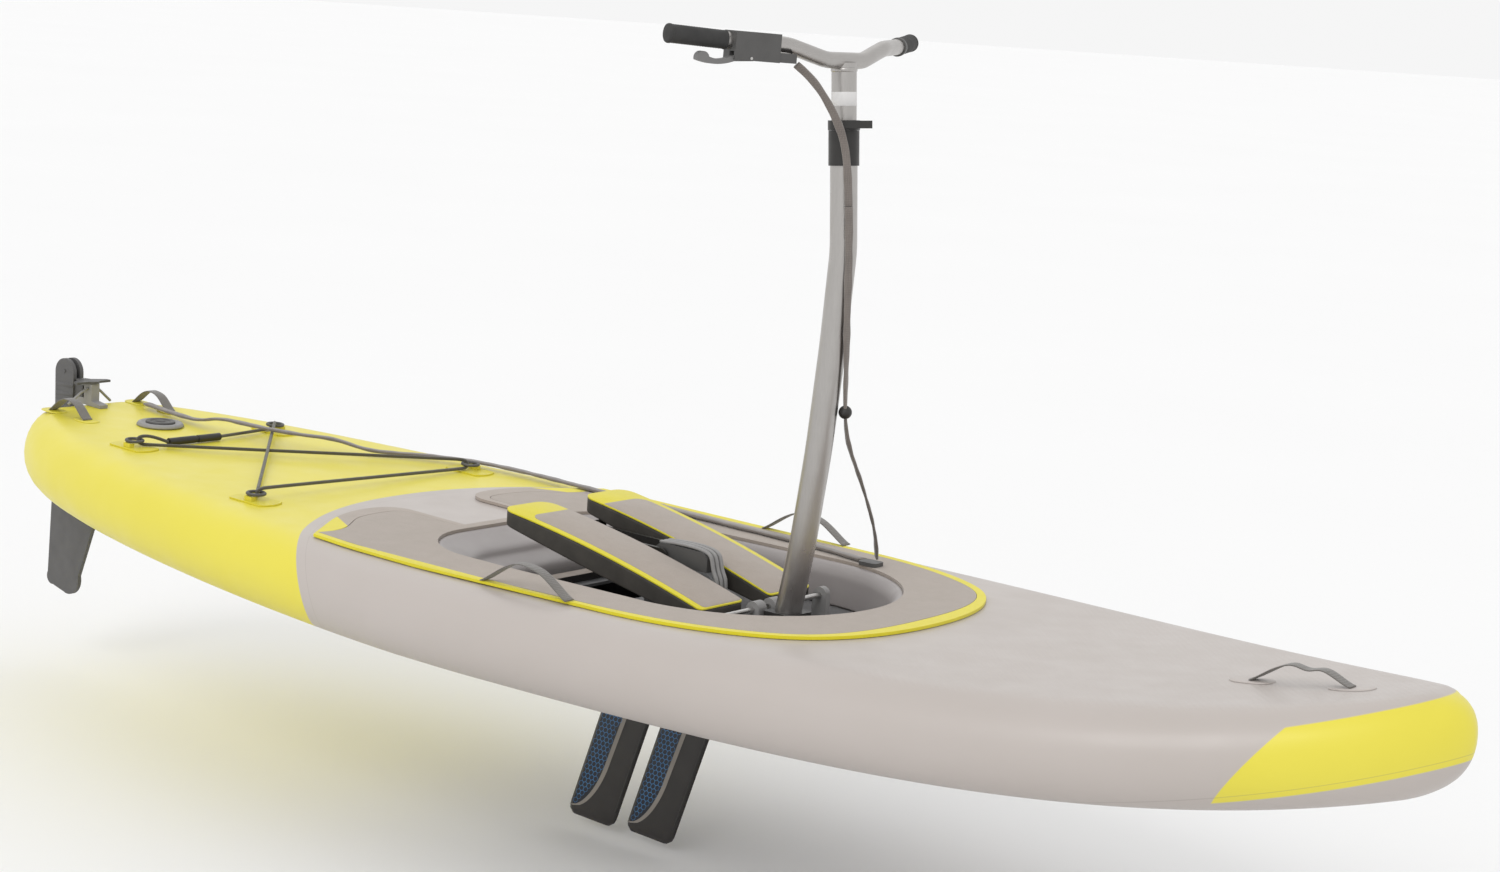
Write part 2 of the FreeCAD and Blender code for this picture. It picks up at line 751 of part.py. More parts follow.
def pedal_band(low, high, x_front, x_aft):
    """Side outline of a layer on top of the tread, between two heights over it."""
    (x0, z0), (x1, z1), (x2, z2) = PEDAL_TOP
    arc = Part.Arc(Vector(x0, z0, 0), Vector(x1, z1, 0), Vector(x2, z2, 0)).toShape().Curve
    centre = arc.Center
    radius = arc.Radius

    def at(x, lift):
        r = radius + lift
        return x, centre.y + math.sqrt(r * r - (x - centre.x) ** 2)

    middle = (x_front + x_aft) / 2
    return edges(at(x_front, low), at(x_front, high), (*at(middle, high), *at(x_aft, high)),
                 at(x_aft, low), (*at(middle, low), *at(x_front, low)))


def pedal_plate(label, side, near, far, *outlines):
    """Layer of the pedal between two distances from its inner edge."""
    inner = size("pedal_inner_y")
    offset = inner + near if side < 0 else -(inner + far)
    body = plate(label, "XZ_Plane", offset, f"{far - near:.2f}", *outlines)
    turn = FreeCAD.Rotation(Z_AXIS, -side * PEDAL_SKEW)
    hinge = Vector(HINGE[0], side * inner, 0)
    body.Placement = FreeCAD.Placement(hinge - turn.multVec(hinge), turn)
    return body


def make_pedal(side, word):
    width = size("pedal_width")
    inner = size("pedal_inner_y")
    top, bottom = PEDAL_TOP, PEDAL_BOTTOM
    tread = pedal_plate(f"tread_{word}", side, 0, width,
                        edges(top[0], (*top[1], *top[2]), (-175, 240), bottom[0],
                              (*bottom[1], *bottom[2]), (316, 118)))
    hollow = pedal_plate(f"tread_hollow_{word}", side, 9, width - 9,
                         edges((285, 90), (285, 138), (75, 195, -158, 236), (-158, 120)))
    barrel = cylinder(f"barrel_{word}", "Sizes.pedal_barrel_radius", "Sizes.pedal_width - 2",
                      (HINGE[0], side * (inner + (1 if side > 0 else width - 1)), HINGE[1]),
                      (0, 1, 0))
    bore = cylinder(f"barrel_bore_{word}", "Sizes.pedal_pin_radius + Sizes.running_gap",
                    "Sizes.pedal_width + 20",
                    (HINGE[0], side * inner - (10 if side > 0 else width + 10), HINGE[1]), (0, 1, 0))
    body = cut(f"pedal_open_{word}", tread, hollow)
    joined = fuse(f"pedal_joined_{word}", body, barrel)
    keep(cut(f"pedal_bored_{word}", joined, bore), f"pedal_{word}")
    foam = size("pedal_foam_thickness")
    keep(pedal_plate(f"foam_{word}", side, 1.5, width - 15,
                     pedal_band(0.1, foam, 306, -110)), f"pedal_foam_{word}")
    edge = pedal_plate(f"trim_edge_{word}", side, width - 15, width - 1,
                       pedal_band(0.1, foam, 306, -165))
    end = pedal_plate(f"trim_end_{word}", side, 1.5, width - 15,
                      pedal_band(0.1, foam, -110.2, -165))
    keep(fuse(f"trim_{word}", edge, end), f"pedal_trim_{word}")


def make_lugs():
    """Four hinge blocks on the drive deck, two for each pedal's pin."""
    lugs = []
    for y0, y1 in ((12, 36), (166.5, 181)):
        for side in (1, -1):
            low = y0 if side > 0 else -y1
            foot = DRIVE_DECK_TOP
            body = plate(f"lug_{len(lugs)}", "XZ_Plane", -low - (y1 - y0), f"{y1 - y0}",
                         edges((308, foot), (342, foot), (339, 132), (325, 143, 311, 132)),
                         circle(*HINGE, size("pedal_pin_radius")))
            lugs.append(body)
    keep(group("lug_group", *lugs), "pedal_lugs")
    pins = [cylinder(f"pedal_pin_bar_{y}", "Sizes.pedal_pin_radius", "176",
                     (HINGE[0], y, HINGE[1]), (0, 1, 0)) for y in (8, -184)]
    keep(group("pin_group", *pins), "pedal_pins")


def make_drive():
    low = size("fin_shaft_z")
    half = "2 * Sizes.spine_half_width"
    spine = plate("spine_plate", "XZ_Plane", 0, half,
                  edges((60, 20), (60, 158), (78, 170), (204, 170), (220, 158), (220, 20),
                        (132, 2), (131, -34), (114, -34), (112.5, 2)), midplane=True)
    shaft_hole = cylinder("spine_shaft_hole", "Sizes.fin_shaft_radius", "60", (100, 0, low), (1, 0, 0))
    keep(cut("spine_cut", spine, shaft_hole), "drive_spine")
    cap = plate("cap_plate", "XZ_Plane", 0, half + " - 2",
                edges((80, 170), (80, 200), (90, 208), (192, 206), (202, 196), (202, 170)),
                midplane=True)
    crank_hole = cylinder("cap_hole", "Sizes.crank_radius", "60",
                          (size("crank_x"), -30, size("crank_z")), (0, 1, 0))
    keep(cut("cap_cut", cap, crank_hole), "drive_spine_cap")
    crank = cylinder("crank_shaft_bar", "Sizes.crank_radius", "66",
                     (size("crank_x"), -33, size("crank_z")), (0, 1, 0))
    fin_bar = cylinder("fin_shaft_bar", "Sizes.fin_shaft_radius", "258", (1, 0, low), (1, 0, 0))
    stops = [cylinder(f"shaft_stop_{end}", "Sizes.fin_shaft_radius + 4", "4", (x, 0, low), (1, 0, 0))
             for end, x in (("aft", -3), ("front", 259))]
    keep(group("shaft_group", crank, fuse("fin_shaft_whole", fin_bar, *stops)), "drive_shafts")


def make_crank(side, word):
    """Arm from the crank shaft back to the roller that carries the pedal."""
    x, z = size("crank_x"), size("crank_z")
    rx, rz = size("roller_x"), size("roller_z")
    low = 24 if side > 0 else -31
    arm = plate(f"arm_{word}", "XZ_Plane", -low - 7, "7",
                edges((x - 2, z + 13), (x + 13, z, x - 2, z - 13), (rx + 6, rz - 9),
                      (rx - 9, rz, rx + 6, rz + 9)),
                circle(x, z, size("crank_radius") + size("running_gap")))
    axle = cylinder(f"axle_{word}", "4", "46", (rx, 24 if side > 0 else -70, rz), (0, 1, 0))
    keep(fuse(f"arm_whole_{word}", arm, axle), f"crank_arm_{word}")
    start = 31.4 if side > 0 else -31.4 - size("roller_length")
    tyre = cylinder(f"roller_tyre_{word}", "Sizes.roller_radius", "Sizes.roller_length",
                    (rx, start, rz), (0, 1, 0))
    bore = cylinder(f"roller_bore_{word}", "4 + Sizes.running_gap", "Sizes.roller_length + 4",
                    (rx, start - 2, rz), (0, 1, 0))
    keep(cut(f"roller_cut_{word}", tyre, bore), f"pedal_roller_{word}")


FIN_TOP_Z = -44
FIN_TIP_Z = -360


def make_fin(word, hub_x, lead_x, chord):
    """A flexible fin on a raked mast whose hub swings about the fore-and-aft shaft."""
    low = size("fin_shaft_z")
    rake = 0.326
    hub = cylinder(f"hub_{word}", "Sizes.fin_hub_radius", "108", (hub_x, 0, low), (1, 0, 0))
    bore = cylinder(f"hub_bore_{word}", "Sizes.fin_shaft_radius + Sizes.running_gap", "112",
                    (hub_x - 2, 0, low), (1, 0, 0))
    rod_axis = (-rake, 0, -1)
    rod_at = (lead_x - 7 + rake * 14, 0, FIN_TOP_Z + 14)
    rod = cylinder(f"rod_{word}", "Sizes.fin_mast_radius", "320", rod_at, rod_axis)
    keep(fuse(f"mast_{word}", cut(f"hub_cut_{word}", hub, bore), rod), f"fin_mast_{word}")

    def lead(z):
        return lead_x + rake * (z - FIN_TOP_Z)

    tip = FIN_TIP_Z
    sail = plate(f"sail_{word}", "XZ_Plane", 0, "Sizes.fin_thickness",
                 edges((lead(FIN_TOP_Z), FIN_TOP_Z), (lead(tip + 20), tip + 20),
                       (lead(tip) - 4, tip, lead(tip) - 24, tip - 6),
                       (lead(tip) - chord + 24, tip),
                       (lead(tip) - chord + 4, tip + 8, lead(tip + 30) - chord, tip + 30),
                       (lead(FIN_TOP_Z) - chord, FIN_TOP_Z)), midplane=True)
    hole = cylinder(f"sail_hole_{word}", "Sizes.fin_mast_radius", "320", rod_at, rod_axis)
    keep(cut(f"sail_cut_{word}", sail, hole), f"fin_{word}")


# ---------------------------------------------------------------- rudder

def make_rudder():
    kick = (size("kick_pin_x"), size("kick_pin_z"))
    pin_x = size("rudder_pin_x")
    bracket = plate("bracket_plate", "XZ_Plane", 0, "22",
                    edges((-1530, 218), (-1530, 225), (-1560, 230), (-1560, 268), (-1616, 268),
                          (-1616, 262.4), (-1586, 262.4), (-1586, 235.6), (-1616, 235.6),
                          (-1616, 222.4)), midplane=True)
    hole = cylinder("bracket_hole", "Sizes.rudder_pin_radius + Sizes.running_gap", "80",
                    (pin_x, 0, 200))
    frame = cut("bracket_cut", bracket, hole)
    pin = cylinder("rudder_pin_bar", "Sizes.rudder_pin_radius", "49", (pin_x, 0, 226))
    knuckle = block("knuckle_box", "28", "20", "26", (-1620, -10, 236))
    keep(cut("knuckle_whole", knuckle, pin), "rudder_knuckle")
    keep(pin, "rudder_pin")
    cheeks = []
    for y in (-14, 5):
        cheeks.append(plate(f"cheek_{y + 14}", "XZ_Plane", -y - size("cheek_thickness"),
                            "Sizes.cheek_thickness",
                            edges((-1620, 182), (-1620, 283), (-1651.5, 314.5, -1683, 283),
                                  (-1680, 176)),
                            circle(*kick, size("kick_pin_radius"))))
    bolt = cylinder("kick_pin_bar", "Sizes.kick_pin_radius", "32", (kick[0], -16, kick[1]),
                    (0, 1, 0))
    keep(group("cheek_pair", *cheeks, bolt), "rudder_cheeks")
    tiller = plate("tiller_plate", "XY_Plane", 269, "5",
                   edges((-1616, -10), (-1596, -16), (-1578, -46), (-1566, -46), (-1564, -14),
                         (-1556, 0, -1564, 14), (-1566, 46), (-1578, 46), (-1596, 16),
                         (-1616, 10)),
                   circle(pin_x, 0, size("rudder_pin_radius")))
    keep(tiller, "tiller_arm")
    blade = plate("blade_plate", "XZ_Plane", 0, "Sizes.blade_thickness",
                  edges((-1631, 286), (-1628, 60), (-1600, 44, -1556, 38), (-1546, 30, -1545, 16),
                        (-1547, -43), (-1597, -174), (-1612, -214, -1645, -217), (-1684, -207),
                        (-1702, -200, -1703, -180), (-1696, -14), (-1686, 70),
                        (-1673, 200), (-1671, 286), (-1651, 306, -1631, 286)),
                  circle(*kick, size("kick_pin_radius") + size("running_gap")), midplane=True)
    keep(blade, "rudder_blade")
    stays = [feature(f"stay_{side}", tube_along(
        [(-1572, side * 12, 258), (-1576, side * 26, 250), (-1580, side * 58, 224.5)], 3))
        for side in (-1, 1)]
    for stay in stays:
        made.remove(stay)
    keep(group("bracket_group", frame, *stays), "rudder_bracket")


# ---------------------------------------------------------------- lines

UPPER_ROUTE = [(409, -129, 1105), (421, -113, 1091), (434, -88, 1064), (446, -58, 1022),
               (455.5, -38, 978), (461.5, -30, 925), (465.5, -26, 868)]
LOWER_ROUTE = [(465.5, -26, 867.5), (468, -22, 815), (468.3, -17, 760), (466.9, -11, 700),
               (465.6, -4, 640), (463.4, 5, 580), (458, 16, 525), (451, 33, 474), (441, 64, 430),
               (430, 108, 386), (418, 158, 331), (402, 210, 275), (386, 250, 228), (368, 280, 194)]
TOGGLE = (455, 23, 502)
DECK_ROUTE = [(323, 305), (262, 319), (196, 330), (128, 339), (56, 346), (-18, 350), (-94, 355),
              (-172, 356), (-250, 360), (-328, 359), (-406, 361), (-482, 361), (-556, 361),
              (-628, 356), (-692, 347), (-750, 328), (-805, 296), (-856, 251), (-908, 203),
              (-964, 160), (-1026, 118), (-1092, 97), (-1162, 84), (-1232, 76), (-1302, 73),
              (-1370, 75), (-1434, 80), (-1490, 88)]


# Where the sleeve rides up over the shock cord, and by how much.
OVER_FROM, OVER_TO, OVER_CORD = -1240, -960, 19


def deck_route():
    lift = size("pad_thickness") + size("sleeve_radius") + 1.2
    over = lift + OVER_CORD
    return [(x, y, deck_z(x) + (over if OVER_FROM < x < OVER_TO else lift)) for x, y in DECK_ROUTE]


def print_radii(label, points):
    spots = [Vector(*p) for p in points]
    radii = [corner_radius(*spots[i - 1:i + 2]) for i in range(1, len(spots) - 1)]
    runs = [(b - a).Length for a, b in zip(spots, spots[1:])]
    print(f"{label}: length {route_wire(points).Length:.0f}, runs {min(runs):.0f} to {max(runs):.0f},"
          f" radii {', '.join(f'{r:.0f}' for r in radii)}")


def make_sleeve():
    """The woven sleeve that carries the steering line from the lever to the rudder."""
    radius = size("sleeve_radius")
    for label, points in (("sleeve_upper", UPPER_ROUTE), ("sleeve_lower", LOWER_ROUTE),
                          ("sleeve_deck", deck_route())):
        print_radii(label, points)
        feature(label, tube_along(points, radius))
    ball = Part.makeSphere(12, Vector(*TOGGLE))
    feature("sleeve_toggle", ball.cut(tube_along(LOWER_ROUTE, radius + 0.1)))
    x, y = 345, 297
    base = rounded_box(x - 20, y - 17, x + 20, y + 17, 8)
    foot = plate("deck_fitting", "XY_Plane", deck_z(x) + size("pad_thickness") + 1.8, "7", base)
    keep(foot, "deck_fitting")


# The rings that the shock cord goes through, in order, and its two ends at the cord lock.
LACED = ["aft_port", "forward_starboard", "forward_port", "aft_starboard"]
LOCK_ENDS = [(-1165, 16), (-1168, -124)]


def thread(ring, before, after):
    """The cord's points at a ring: in under its bar, up through it, and out over the bar."""
    x, y = RINGS[ring]
    spots = []
    for other, steps in ((before, ((40, THREAD_LOW), (7, THREAD_LOW))),
                         (after, ((7, THREAD_HIGH), (40, THREAD_HIGH)))):
        way = Vector(other[0] - x, other[1] - y, 0).normalize()
        for reach, lift in steps:
            at_x = x + way.x * reach
            spots.append((at_x, y + way.y * reach, deck_z(at_x) + lift))
    return spots


def bungee_route():
    """One shock cord, laced through the four rings and back to its cord lock."""
    stops = [LOCK_ENDS[0], *(RINGS[ring] for ring in LACED), LOCK_ENDS[1]]
    lift = size("lock_radius") + 1.5
    spots = [(*LOCK_ENDS[0], deck_z(LOCK_ENDS[0][0]) + lift)]
    for i, ring in enumerate(LACED):
        spots += thread(ring, stops[i], stops[i + 2])
    spots.append((*LOCK_ENDS[1], deck_z(LOCK_ENDS[1][0]) + lift))
    return spots


def make_bungee():
    points = bungee_route()
    print_radii("bungee_cord", points)
    feature("bungee_cord", tube_along(points, size("bungee_radius")))
    ends = [Vector(*points[0]), Vector(*points[-1])]
    along = (ends[1] - ends[0]).normalize()
    length = (ends[1] - ends[0]).Length - 4
    case = doc.addObject("Part::Cylinder", "lock_case")
    bind(case, Radius="Sizes.lock_radius", Height=f"{length:.2f}")
    case.Placement = turned(along, ends[0] + along * 2)
    waist = doc.addObject("Part::Torus", "lock_waist")
    bind(waist, Radius1="Sizes.lock_radius", Radius2="3")
    waist.Placement = turned(along, ends[0] + along * (2 + length * 0.46))
    keep(cut("lock_whole", case, waist), "cord_lock")


def main():
    make_hull()
    make_well()
    make_cross_beam()
    make_pad()
    make_handles()
    make_rings()
    make_valve()
    make_mast()
    make_clamp()
    make_handlebar()
    make_controls()
    make_lugs()
    make_drive()
    for side, word in ((-1, "starboard"), (1, "port")):
        make_pedal(side, word)
        make_crank(side, word)
    make_fin("front", 142, 251, 117)
    make_fin("rear", 3.5, 108, 120)
    make_rudder()
    make_sleeve()
    make_bungee()


main()
doc.recompute()
for thing in doc.Objects:
    if "Invalid" in thing.State or "Error" in thing.State:
        raise ValueError(f"{thing.Name} failed: {thing.State}")
os.makedirs("parts", exist_ok=True)
for thing in made:
    shape = thing.Shape
    if shape.isNull() or not shape.isValid():
        raise ValueError(f"{thing.Label} has no sound shape")
    shape.exportStep(f"parts/{thing.Label}.step")
    print(f"{thing.Label}: {len(shape.Solids)} solids, {shape.Volume / 1000:.1f} cm3")
print(len(made), "sub-parts")
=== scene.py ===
"""Blender scene of an inflatable stand-up pedal board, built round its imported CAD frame."""
import math

import bmesh
import bpy
from mathutils import Matrix, Vector


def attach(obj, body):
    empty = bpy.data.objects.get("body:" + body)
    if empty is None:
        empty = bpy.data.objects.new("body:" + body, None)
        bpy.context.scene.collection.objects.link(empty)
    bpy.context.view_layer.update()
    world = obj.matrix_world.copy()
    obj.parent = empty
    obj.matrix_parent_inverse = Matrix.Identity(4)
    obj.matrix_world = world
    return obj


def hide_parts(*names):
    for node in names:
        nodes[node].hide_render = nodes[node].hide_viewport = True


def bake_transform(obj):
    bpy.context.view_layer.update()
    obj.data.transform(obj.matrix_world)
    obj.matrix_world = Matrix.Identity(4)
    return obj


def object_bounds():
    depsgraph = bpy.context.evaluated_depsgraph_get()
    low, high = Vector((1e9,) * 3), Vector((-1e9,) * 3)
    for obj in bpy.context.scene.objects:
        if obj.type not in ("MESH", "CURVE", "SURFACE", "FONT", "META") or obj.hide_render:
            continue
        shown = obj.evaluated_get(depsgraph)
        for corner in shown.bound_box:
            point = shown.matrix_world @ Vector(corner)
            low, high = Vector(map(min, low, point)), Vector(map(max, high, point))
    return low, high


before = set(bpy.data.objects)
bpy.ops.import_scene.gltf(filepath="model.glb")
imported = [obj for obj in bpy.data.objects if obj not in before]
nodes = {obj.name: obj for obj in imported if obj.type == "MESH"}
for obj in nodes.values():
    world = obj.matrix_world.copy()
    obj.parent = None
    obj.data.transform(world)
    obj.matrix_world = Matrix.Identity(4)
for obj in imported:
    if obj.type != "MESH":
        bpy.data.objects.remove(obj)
cad_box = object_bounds()

HALF = 0.082                     # half the board's thickness
HALF_BEAM = 0.495                # half its greatest width
WIDEST = -0.152                  # station of the greatest width
STERN, BOW = -1.650, 1.6765
BOW_RISE, BOW_CURVE = 0.1004, 4.44
STERN_RISE, STERN_CURVE = 0.0603, 1.36
UP = Vector((0, 0, 1))
SIDES = ((-1, "starboard"), (1, "port"))


# ---------------- camera

def make_camera():
    place = Vector((3.243, -3.900, 1.234))
    forward = Vector((-0.605, 0.780, -0.159)).normalized()
    above = Vector((-0.150, 0.085, 0.985))
    right = forward.cross(above).normalized()
    above = right.cross(forward)
    lens = bpy.data.cameras.new("camera")
    lens.sensor_width = 36
    lens.lens = 66.24
    lens.shift_x = 0.0136
    lens.shift_y = -0.0050
    lens.clip_end = 100
    camera = bpy.data.objects.new("camera", lens)
    camera.location = place
    camera.rotation_euler = Matrix((right, above, -forward)).transposed().to_euler()
    bpy.context.scene.collection.objects.link(camera)
    bpy.context.scene.camera = camera


make_camera()


# ---------------- the board's shape

def half_width(x):
    """Half the board's width at a station, in metres, as the CAD hull has it."""
    if x > WIDEST:
        s, p, q = (x - WIDEST) / (BOW - WIDEST), 3.02, 1.49
    else:
        s, p, q = (WIDEST - x) / (WIDEST - STERN), 1.45, 2.55
    return HALF_BEAM * max(0.0, 1 - s ** p) ** (1 / q)


def middle_z(x):
    """Height of the middle of the rail: the board's rocker."""
    if x > 0:
        return HALF + BOW_RISE * (x / BOW) ** BOW_CURVE
    return HALF + STERN_RISE * (-x / BOW) ** STERN_CURVE


def deck_z(x):
    return middle_z(x) + HALF


def well_outline(inset, steps=24):
    """Points round the well's opening, anticlockwise from its aft starboard corner."""
    side, front, aft, corner = 0.285 - inset, 0.273, -0.300 + inset, 0.150 - inset
    points = []
    for i in range(steps + 1):
        turn = -math.pi / 2 + math.pi * i / steps
        points.append((front + side * math.cos(turn), side * math.sin(turn)))
    for sign, start in ((1, math.pi / 2), (-1, math.pi)):
        for i in range(9):
            turn = start + math.pi / 2 * i / 8
            points.append((aft + corner + corner * math.cos(turn),
                           sign * (side - corner) + corner * math.sin(turn)))
    return points


# ---------------- helpers

def link(name, data):
    thing = bpy.data.objects.new(name, data)
    bpy.context.scene.collection.objects.link(thing)
    return thing


def smooth_shaded(data):
    data.polygons.foreach_set("use_smooth", [True] * len(data.polygons))


def mesh_from(name, verts, faces, smooth=True):
    data = bpy.data.meshes.new(name)
    data.from_pydata([tuple(v) for v in verts], [], faces)
    data.validate()
    data.update()
    if smooth:
        smooth_shaded(data)
    return link(name, data)


def tube_faces(rows, count):
    """Four-sided faces between rows of points, where each row is a closed ring."""
    faces = []
    for row in range(rows - 1):
        for i in range(count):
            k = (i + 1) % count
            faces.append((row * count + i, row * count + k, (row + 1) * count + k,
                          (row + 1) * count + i))
    return faces


def ring_face(row, count):
    """The face that closes one ring."""
    return tuple(range(row * count, (row + 1) * count))


def add_modifier(thing, kind, **values):
    modifier = thing.modifiers.new(kind.lower(), kind)
    for key, value in values.items():
        setattr(modifier, key, value)
    return modifier


def baked(thing):
    """Applies the modifiers, so that the piece is one plain mesh."""
    graph = bpy.context.evaluated_depsgraph_get()
    data = bpy.data.meshes.new_from_object(thing.evaluated_get(graph))
    thing.modifiers.clear()
    thing.data = data
    return thing


def add_bevel(thing, width, degrees):
    add_modifier(thing, "BEVEL", width=width, segments=3, limit_method="ANGLE",
                 angle_limit=math.radians(degrees), use_clamp_overlap=True)


def split_edges(thing, degrees):
    add_modifier(thing, "EDGE_SPLIT", split_angle=math.radians(degrees))
    baked(thing)


def tidy_normals(thing, weld=0.0):
    """Turns the faces outwards, once points closer together than weld are joined."""
    mesh = bmesh.new()
    mesh.from_mesh(thing.data)
    if weld:
        bmesh.ops.remove_doubles(mesh, verts=mesh.verts, dist=weld)
    bmesh.ops.recalc_face_normals(mesh, faces=mesh.faces)
    mesh.to_mesh(thing.data)
    mesh.free()


def route_line(name, points, radius=0.0):
    """A cord's line: a smooth curve with the route's points as its control points."""
    data = bpy.data.curves.new(name, "CURVE")
    data.dimensions = "3D"
    spline = data.splines.new("NURBS")
    spline.points.add(len(points) - 1)
    for spot, point in zip(spline.points, points):
        spot.co = (*point, 1)
    spline.order_u = 3
    spline.use_endpoint_u = True
    spline.resolution_u = 10
    data.bevel_depth = radius
    data.bevel_resolution = 4
    return link(name, data)


def smooth_path(route):
    """Points along the smooth line that a route gives, in order."""
    curve = route_line("line", route)
    graph = bpy.context.evaluated_depsgraph_get()
    data = bpy.data.meshes.new_from_object(curve.evaluated_get(graph))
    points = [v.co.copy() for v in data.vertices]
    bpy.data.meshes.remove(data)
    bpy.data.objects.remove(curve)
    return points


def line_length(points):
    return sum((b - a).length for a, b in zip(points, points[1:]))


def ribbon(name, path, outward, width, thickness, ripple=0.0):
    """A flat band with rounded edges along a path. outward(point, share) is its face's normal."""
    section = [(math.copysign(abs(math.cos(t)) ** 0.35, math.cos(t)) * width / 2,
                math.copysign(abs(math.sin(t)) ** 0.8, math.sin(t)) * thickness / 2)
               for t in (2 * math.pi * i / 16 for i in range(16))]
    verts, run, total = [], 0.0, line_length(path)
    for i, point in enumerate(path):
        before, after = path[max(i - 1, 0)], path[min(i + 1, len(path) - 1)]
        along = (after - before).normalized()
        if i:
            run += (point - path[i - 1]).length
        normal = outward(point, run / total)
        across = along.cross(normal).normalized()
        normal = across.cross(along).normalized()
        wave = ripple * (math.sin(run * 61) + 0.6 * math.sin(run * 143 + 1))
        for a, b in section:
            verts.append(point + across * a * (1 + wave) + normal * b * (1 + 2 * wave))
    count = len(section)
    faces = tube_faces(len(path), count)
    faces += [ring_face(0, count)[::-1], ring_face(len(path) - 1, count)]
    piece = mesh_from(name, verts, faces)
    tidy_normals(piece)
    return piece


# ---------------- materials

class Nodes:
    """Short calls that build a material's node tree."""

    def __init__(self, name, kind, roughness, metallic=0.0, sheen=0.0, coat=0.0):
        self.material = bpy.data.materials.new(name)
        self.material.use_nodes = True
        self.tree = self.material.node_tree
        self.shader = self.tree.nodes["Principled BSDF"]
        self.shader.inputs["Roughness"].default_value = roughness
        self.shader.inputs["Metallic"].default_value = metallic
        if sheen:
            self.shader.inputs["Sheen Weight"].default_value = sheen
        if coat:
            self.shader.inputs["Coat Weight"].default_value = coat
            self.shader.inputs["Coat Roughness"].default_value = 0.2
        self.material["material_class"] = kind
        self.spot = self.make("ShaderNodeTexCoord").outputs["Object"]

    def make(self, kind, **inputs):
        node = self.tree.nodes.new(kind)
        for key, value in inputs.items():
            self.feed(node, key.replace("_", " "), value)
        return node

    def feed(self, node, key, value):
        socket = node.inputs[int(key)] if key.isdigit() else node.inputs[key]
        if isinstance(value, bpy.types.NodeSocket):
            self.tree.links.new(value, socket)
        else:
            socket.default_value = value

    def math(self, operation, a, b=0.0, clamp=False):
        node = self.tree.nodes.new("ShaderNodeMath")
        node.operation = operation
        node.use_clamp = clamp
        self.feed(node, "0", a)
        self.feed(node, "1", b)
        return node.outputs[0]

    def add(self, a, b):
        return self.math("ADD", a, b)

    def sub(self, a, b, clamp=False):
        return self.math("SUBTRACT", a, b, clamp)

    def mul(self, a, b):
        return self.math("MULTIPLY", a, b)

    def line(self, value, middle, sharpness=900):
        """1 where the value is at the middle, falling quickly to 0 on both sides."""
        away = self.math("ABSOLUTE", self.sub(value, middle))
        return self.sub(1.0, self.mul(away, sharpness), clamp=True)

    def axes(self):
        return self.make("ShaderNodeSeparateXYZ", Vector=self.spot).outputs

    def noise(self, scale, detail=3.0, rough=0.5, vector=None):
        node = self.make("ShaderNodeTexNoise", Vector=vector or self.spot, Scale=scale,
                         Detail=detail, Roughness=rough)
        return node.outputs["Fac"]

    def scaled(self, x, y, z):
        node = self.tree.nodes.new("ShaderNodeVectorMath")
        node.operation = "MULTIPLY"
        self.feed(node, "0", self.spot)
        node.inputs[1].default_value = (x, y, z)
        return node.outputs[0]

    def step(self, value, edge, soft=0.0005):
        """0 below the edge, 1 above it."""
        return self.ranged(value, edge - soft, edge + soft)

    def ranged(self, value, low, high, to_low=0.0, to_high=1.0):
        """Maps a range of values to another one, and holds at its ends."""
        node = self.make("ShaderNodeMapRange", Value=value, From_Min=low, From_Max=high,
                         To_Min=to_low, To_Max=to_high)
        return node.outputs[0]

    def mix(self, share, a, b):
        node = self.tree.nodes.new("ShaderNodeMix")
        node.data_type = "RGBA"
        self.feed(node, "0", share)
        for socket, value in ((node.inputs[6], a), (node.inputs[7], b)):
            if isinstance(value, bpy.types.NodeSocket):
                self.tree.links.new(value, socket)
            else:
                socket.default_value = (*value, 1)
        return node.outputs[2]

    def varied(self, colour, other, scale, detail=4.0):
        """A colour that drifts softly towards another."""
        return self.mix(self.noise(scale, detail), colour, other)

    def colour(self, value):
        self.feed(self.shader, "Base Color", value)

    def roughness(self, low, high, scale):
        self.feed(self.shader, "Roughness", self.ranged(self.noise(scale), 0.3, 0.7, low, high))

    def bump(self, height, distance, strength=1.0, under=None):
        node = self.make("ShaderNodeBump", Height=height, Strength=strength, Distance=distance)
        if under is not None:
            self.feed(node, "Normal", under)
        self.feed(self.shader, "Normal", node.outputs[0])
        return node.outputs[0]


def linear(*rgb):
    """An sRGB colour of 0 to 255 as Blender's linear one."""
    return tuple(((c / 255 + 0.055) / 1.055) ** 2.4 for c in rgb)


YELLOW = linear(226, 214, 72)
YELLOW_DEEP = linear(219, 206, 62)
BRIGHT = linear(226, 214, 36)
BRIGHT_DEEP = linear(216, 203, 30)
GREY = linear(186, 178, 173)
GREY_DEEP = linear(179, 171, 165)
TAUPE = linear(170, 158, 148)
TAUPE_DEEP = linear(158, 147, 136)
STRAP = linear(90, 87, 84)
STRAP_LIGHT = linear(116, 112, 107)
CHARCOAL = linear(86, 85, 84)
BLACK = linear(30, 29, 28)


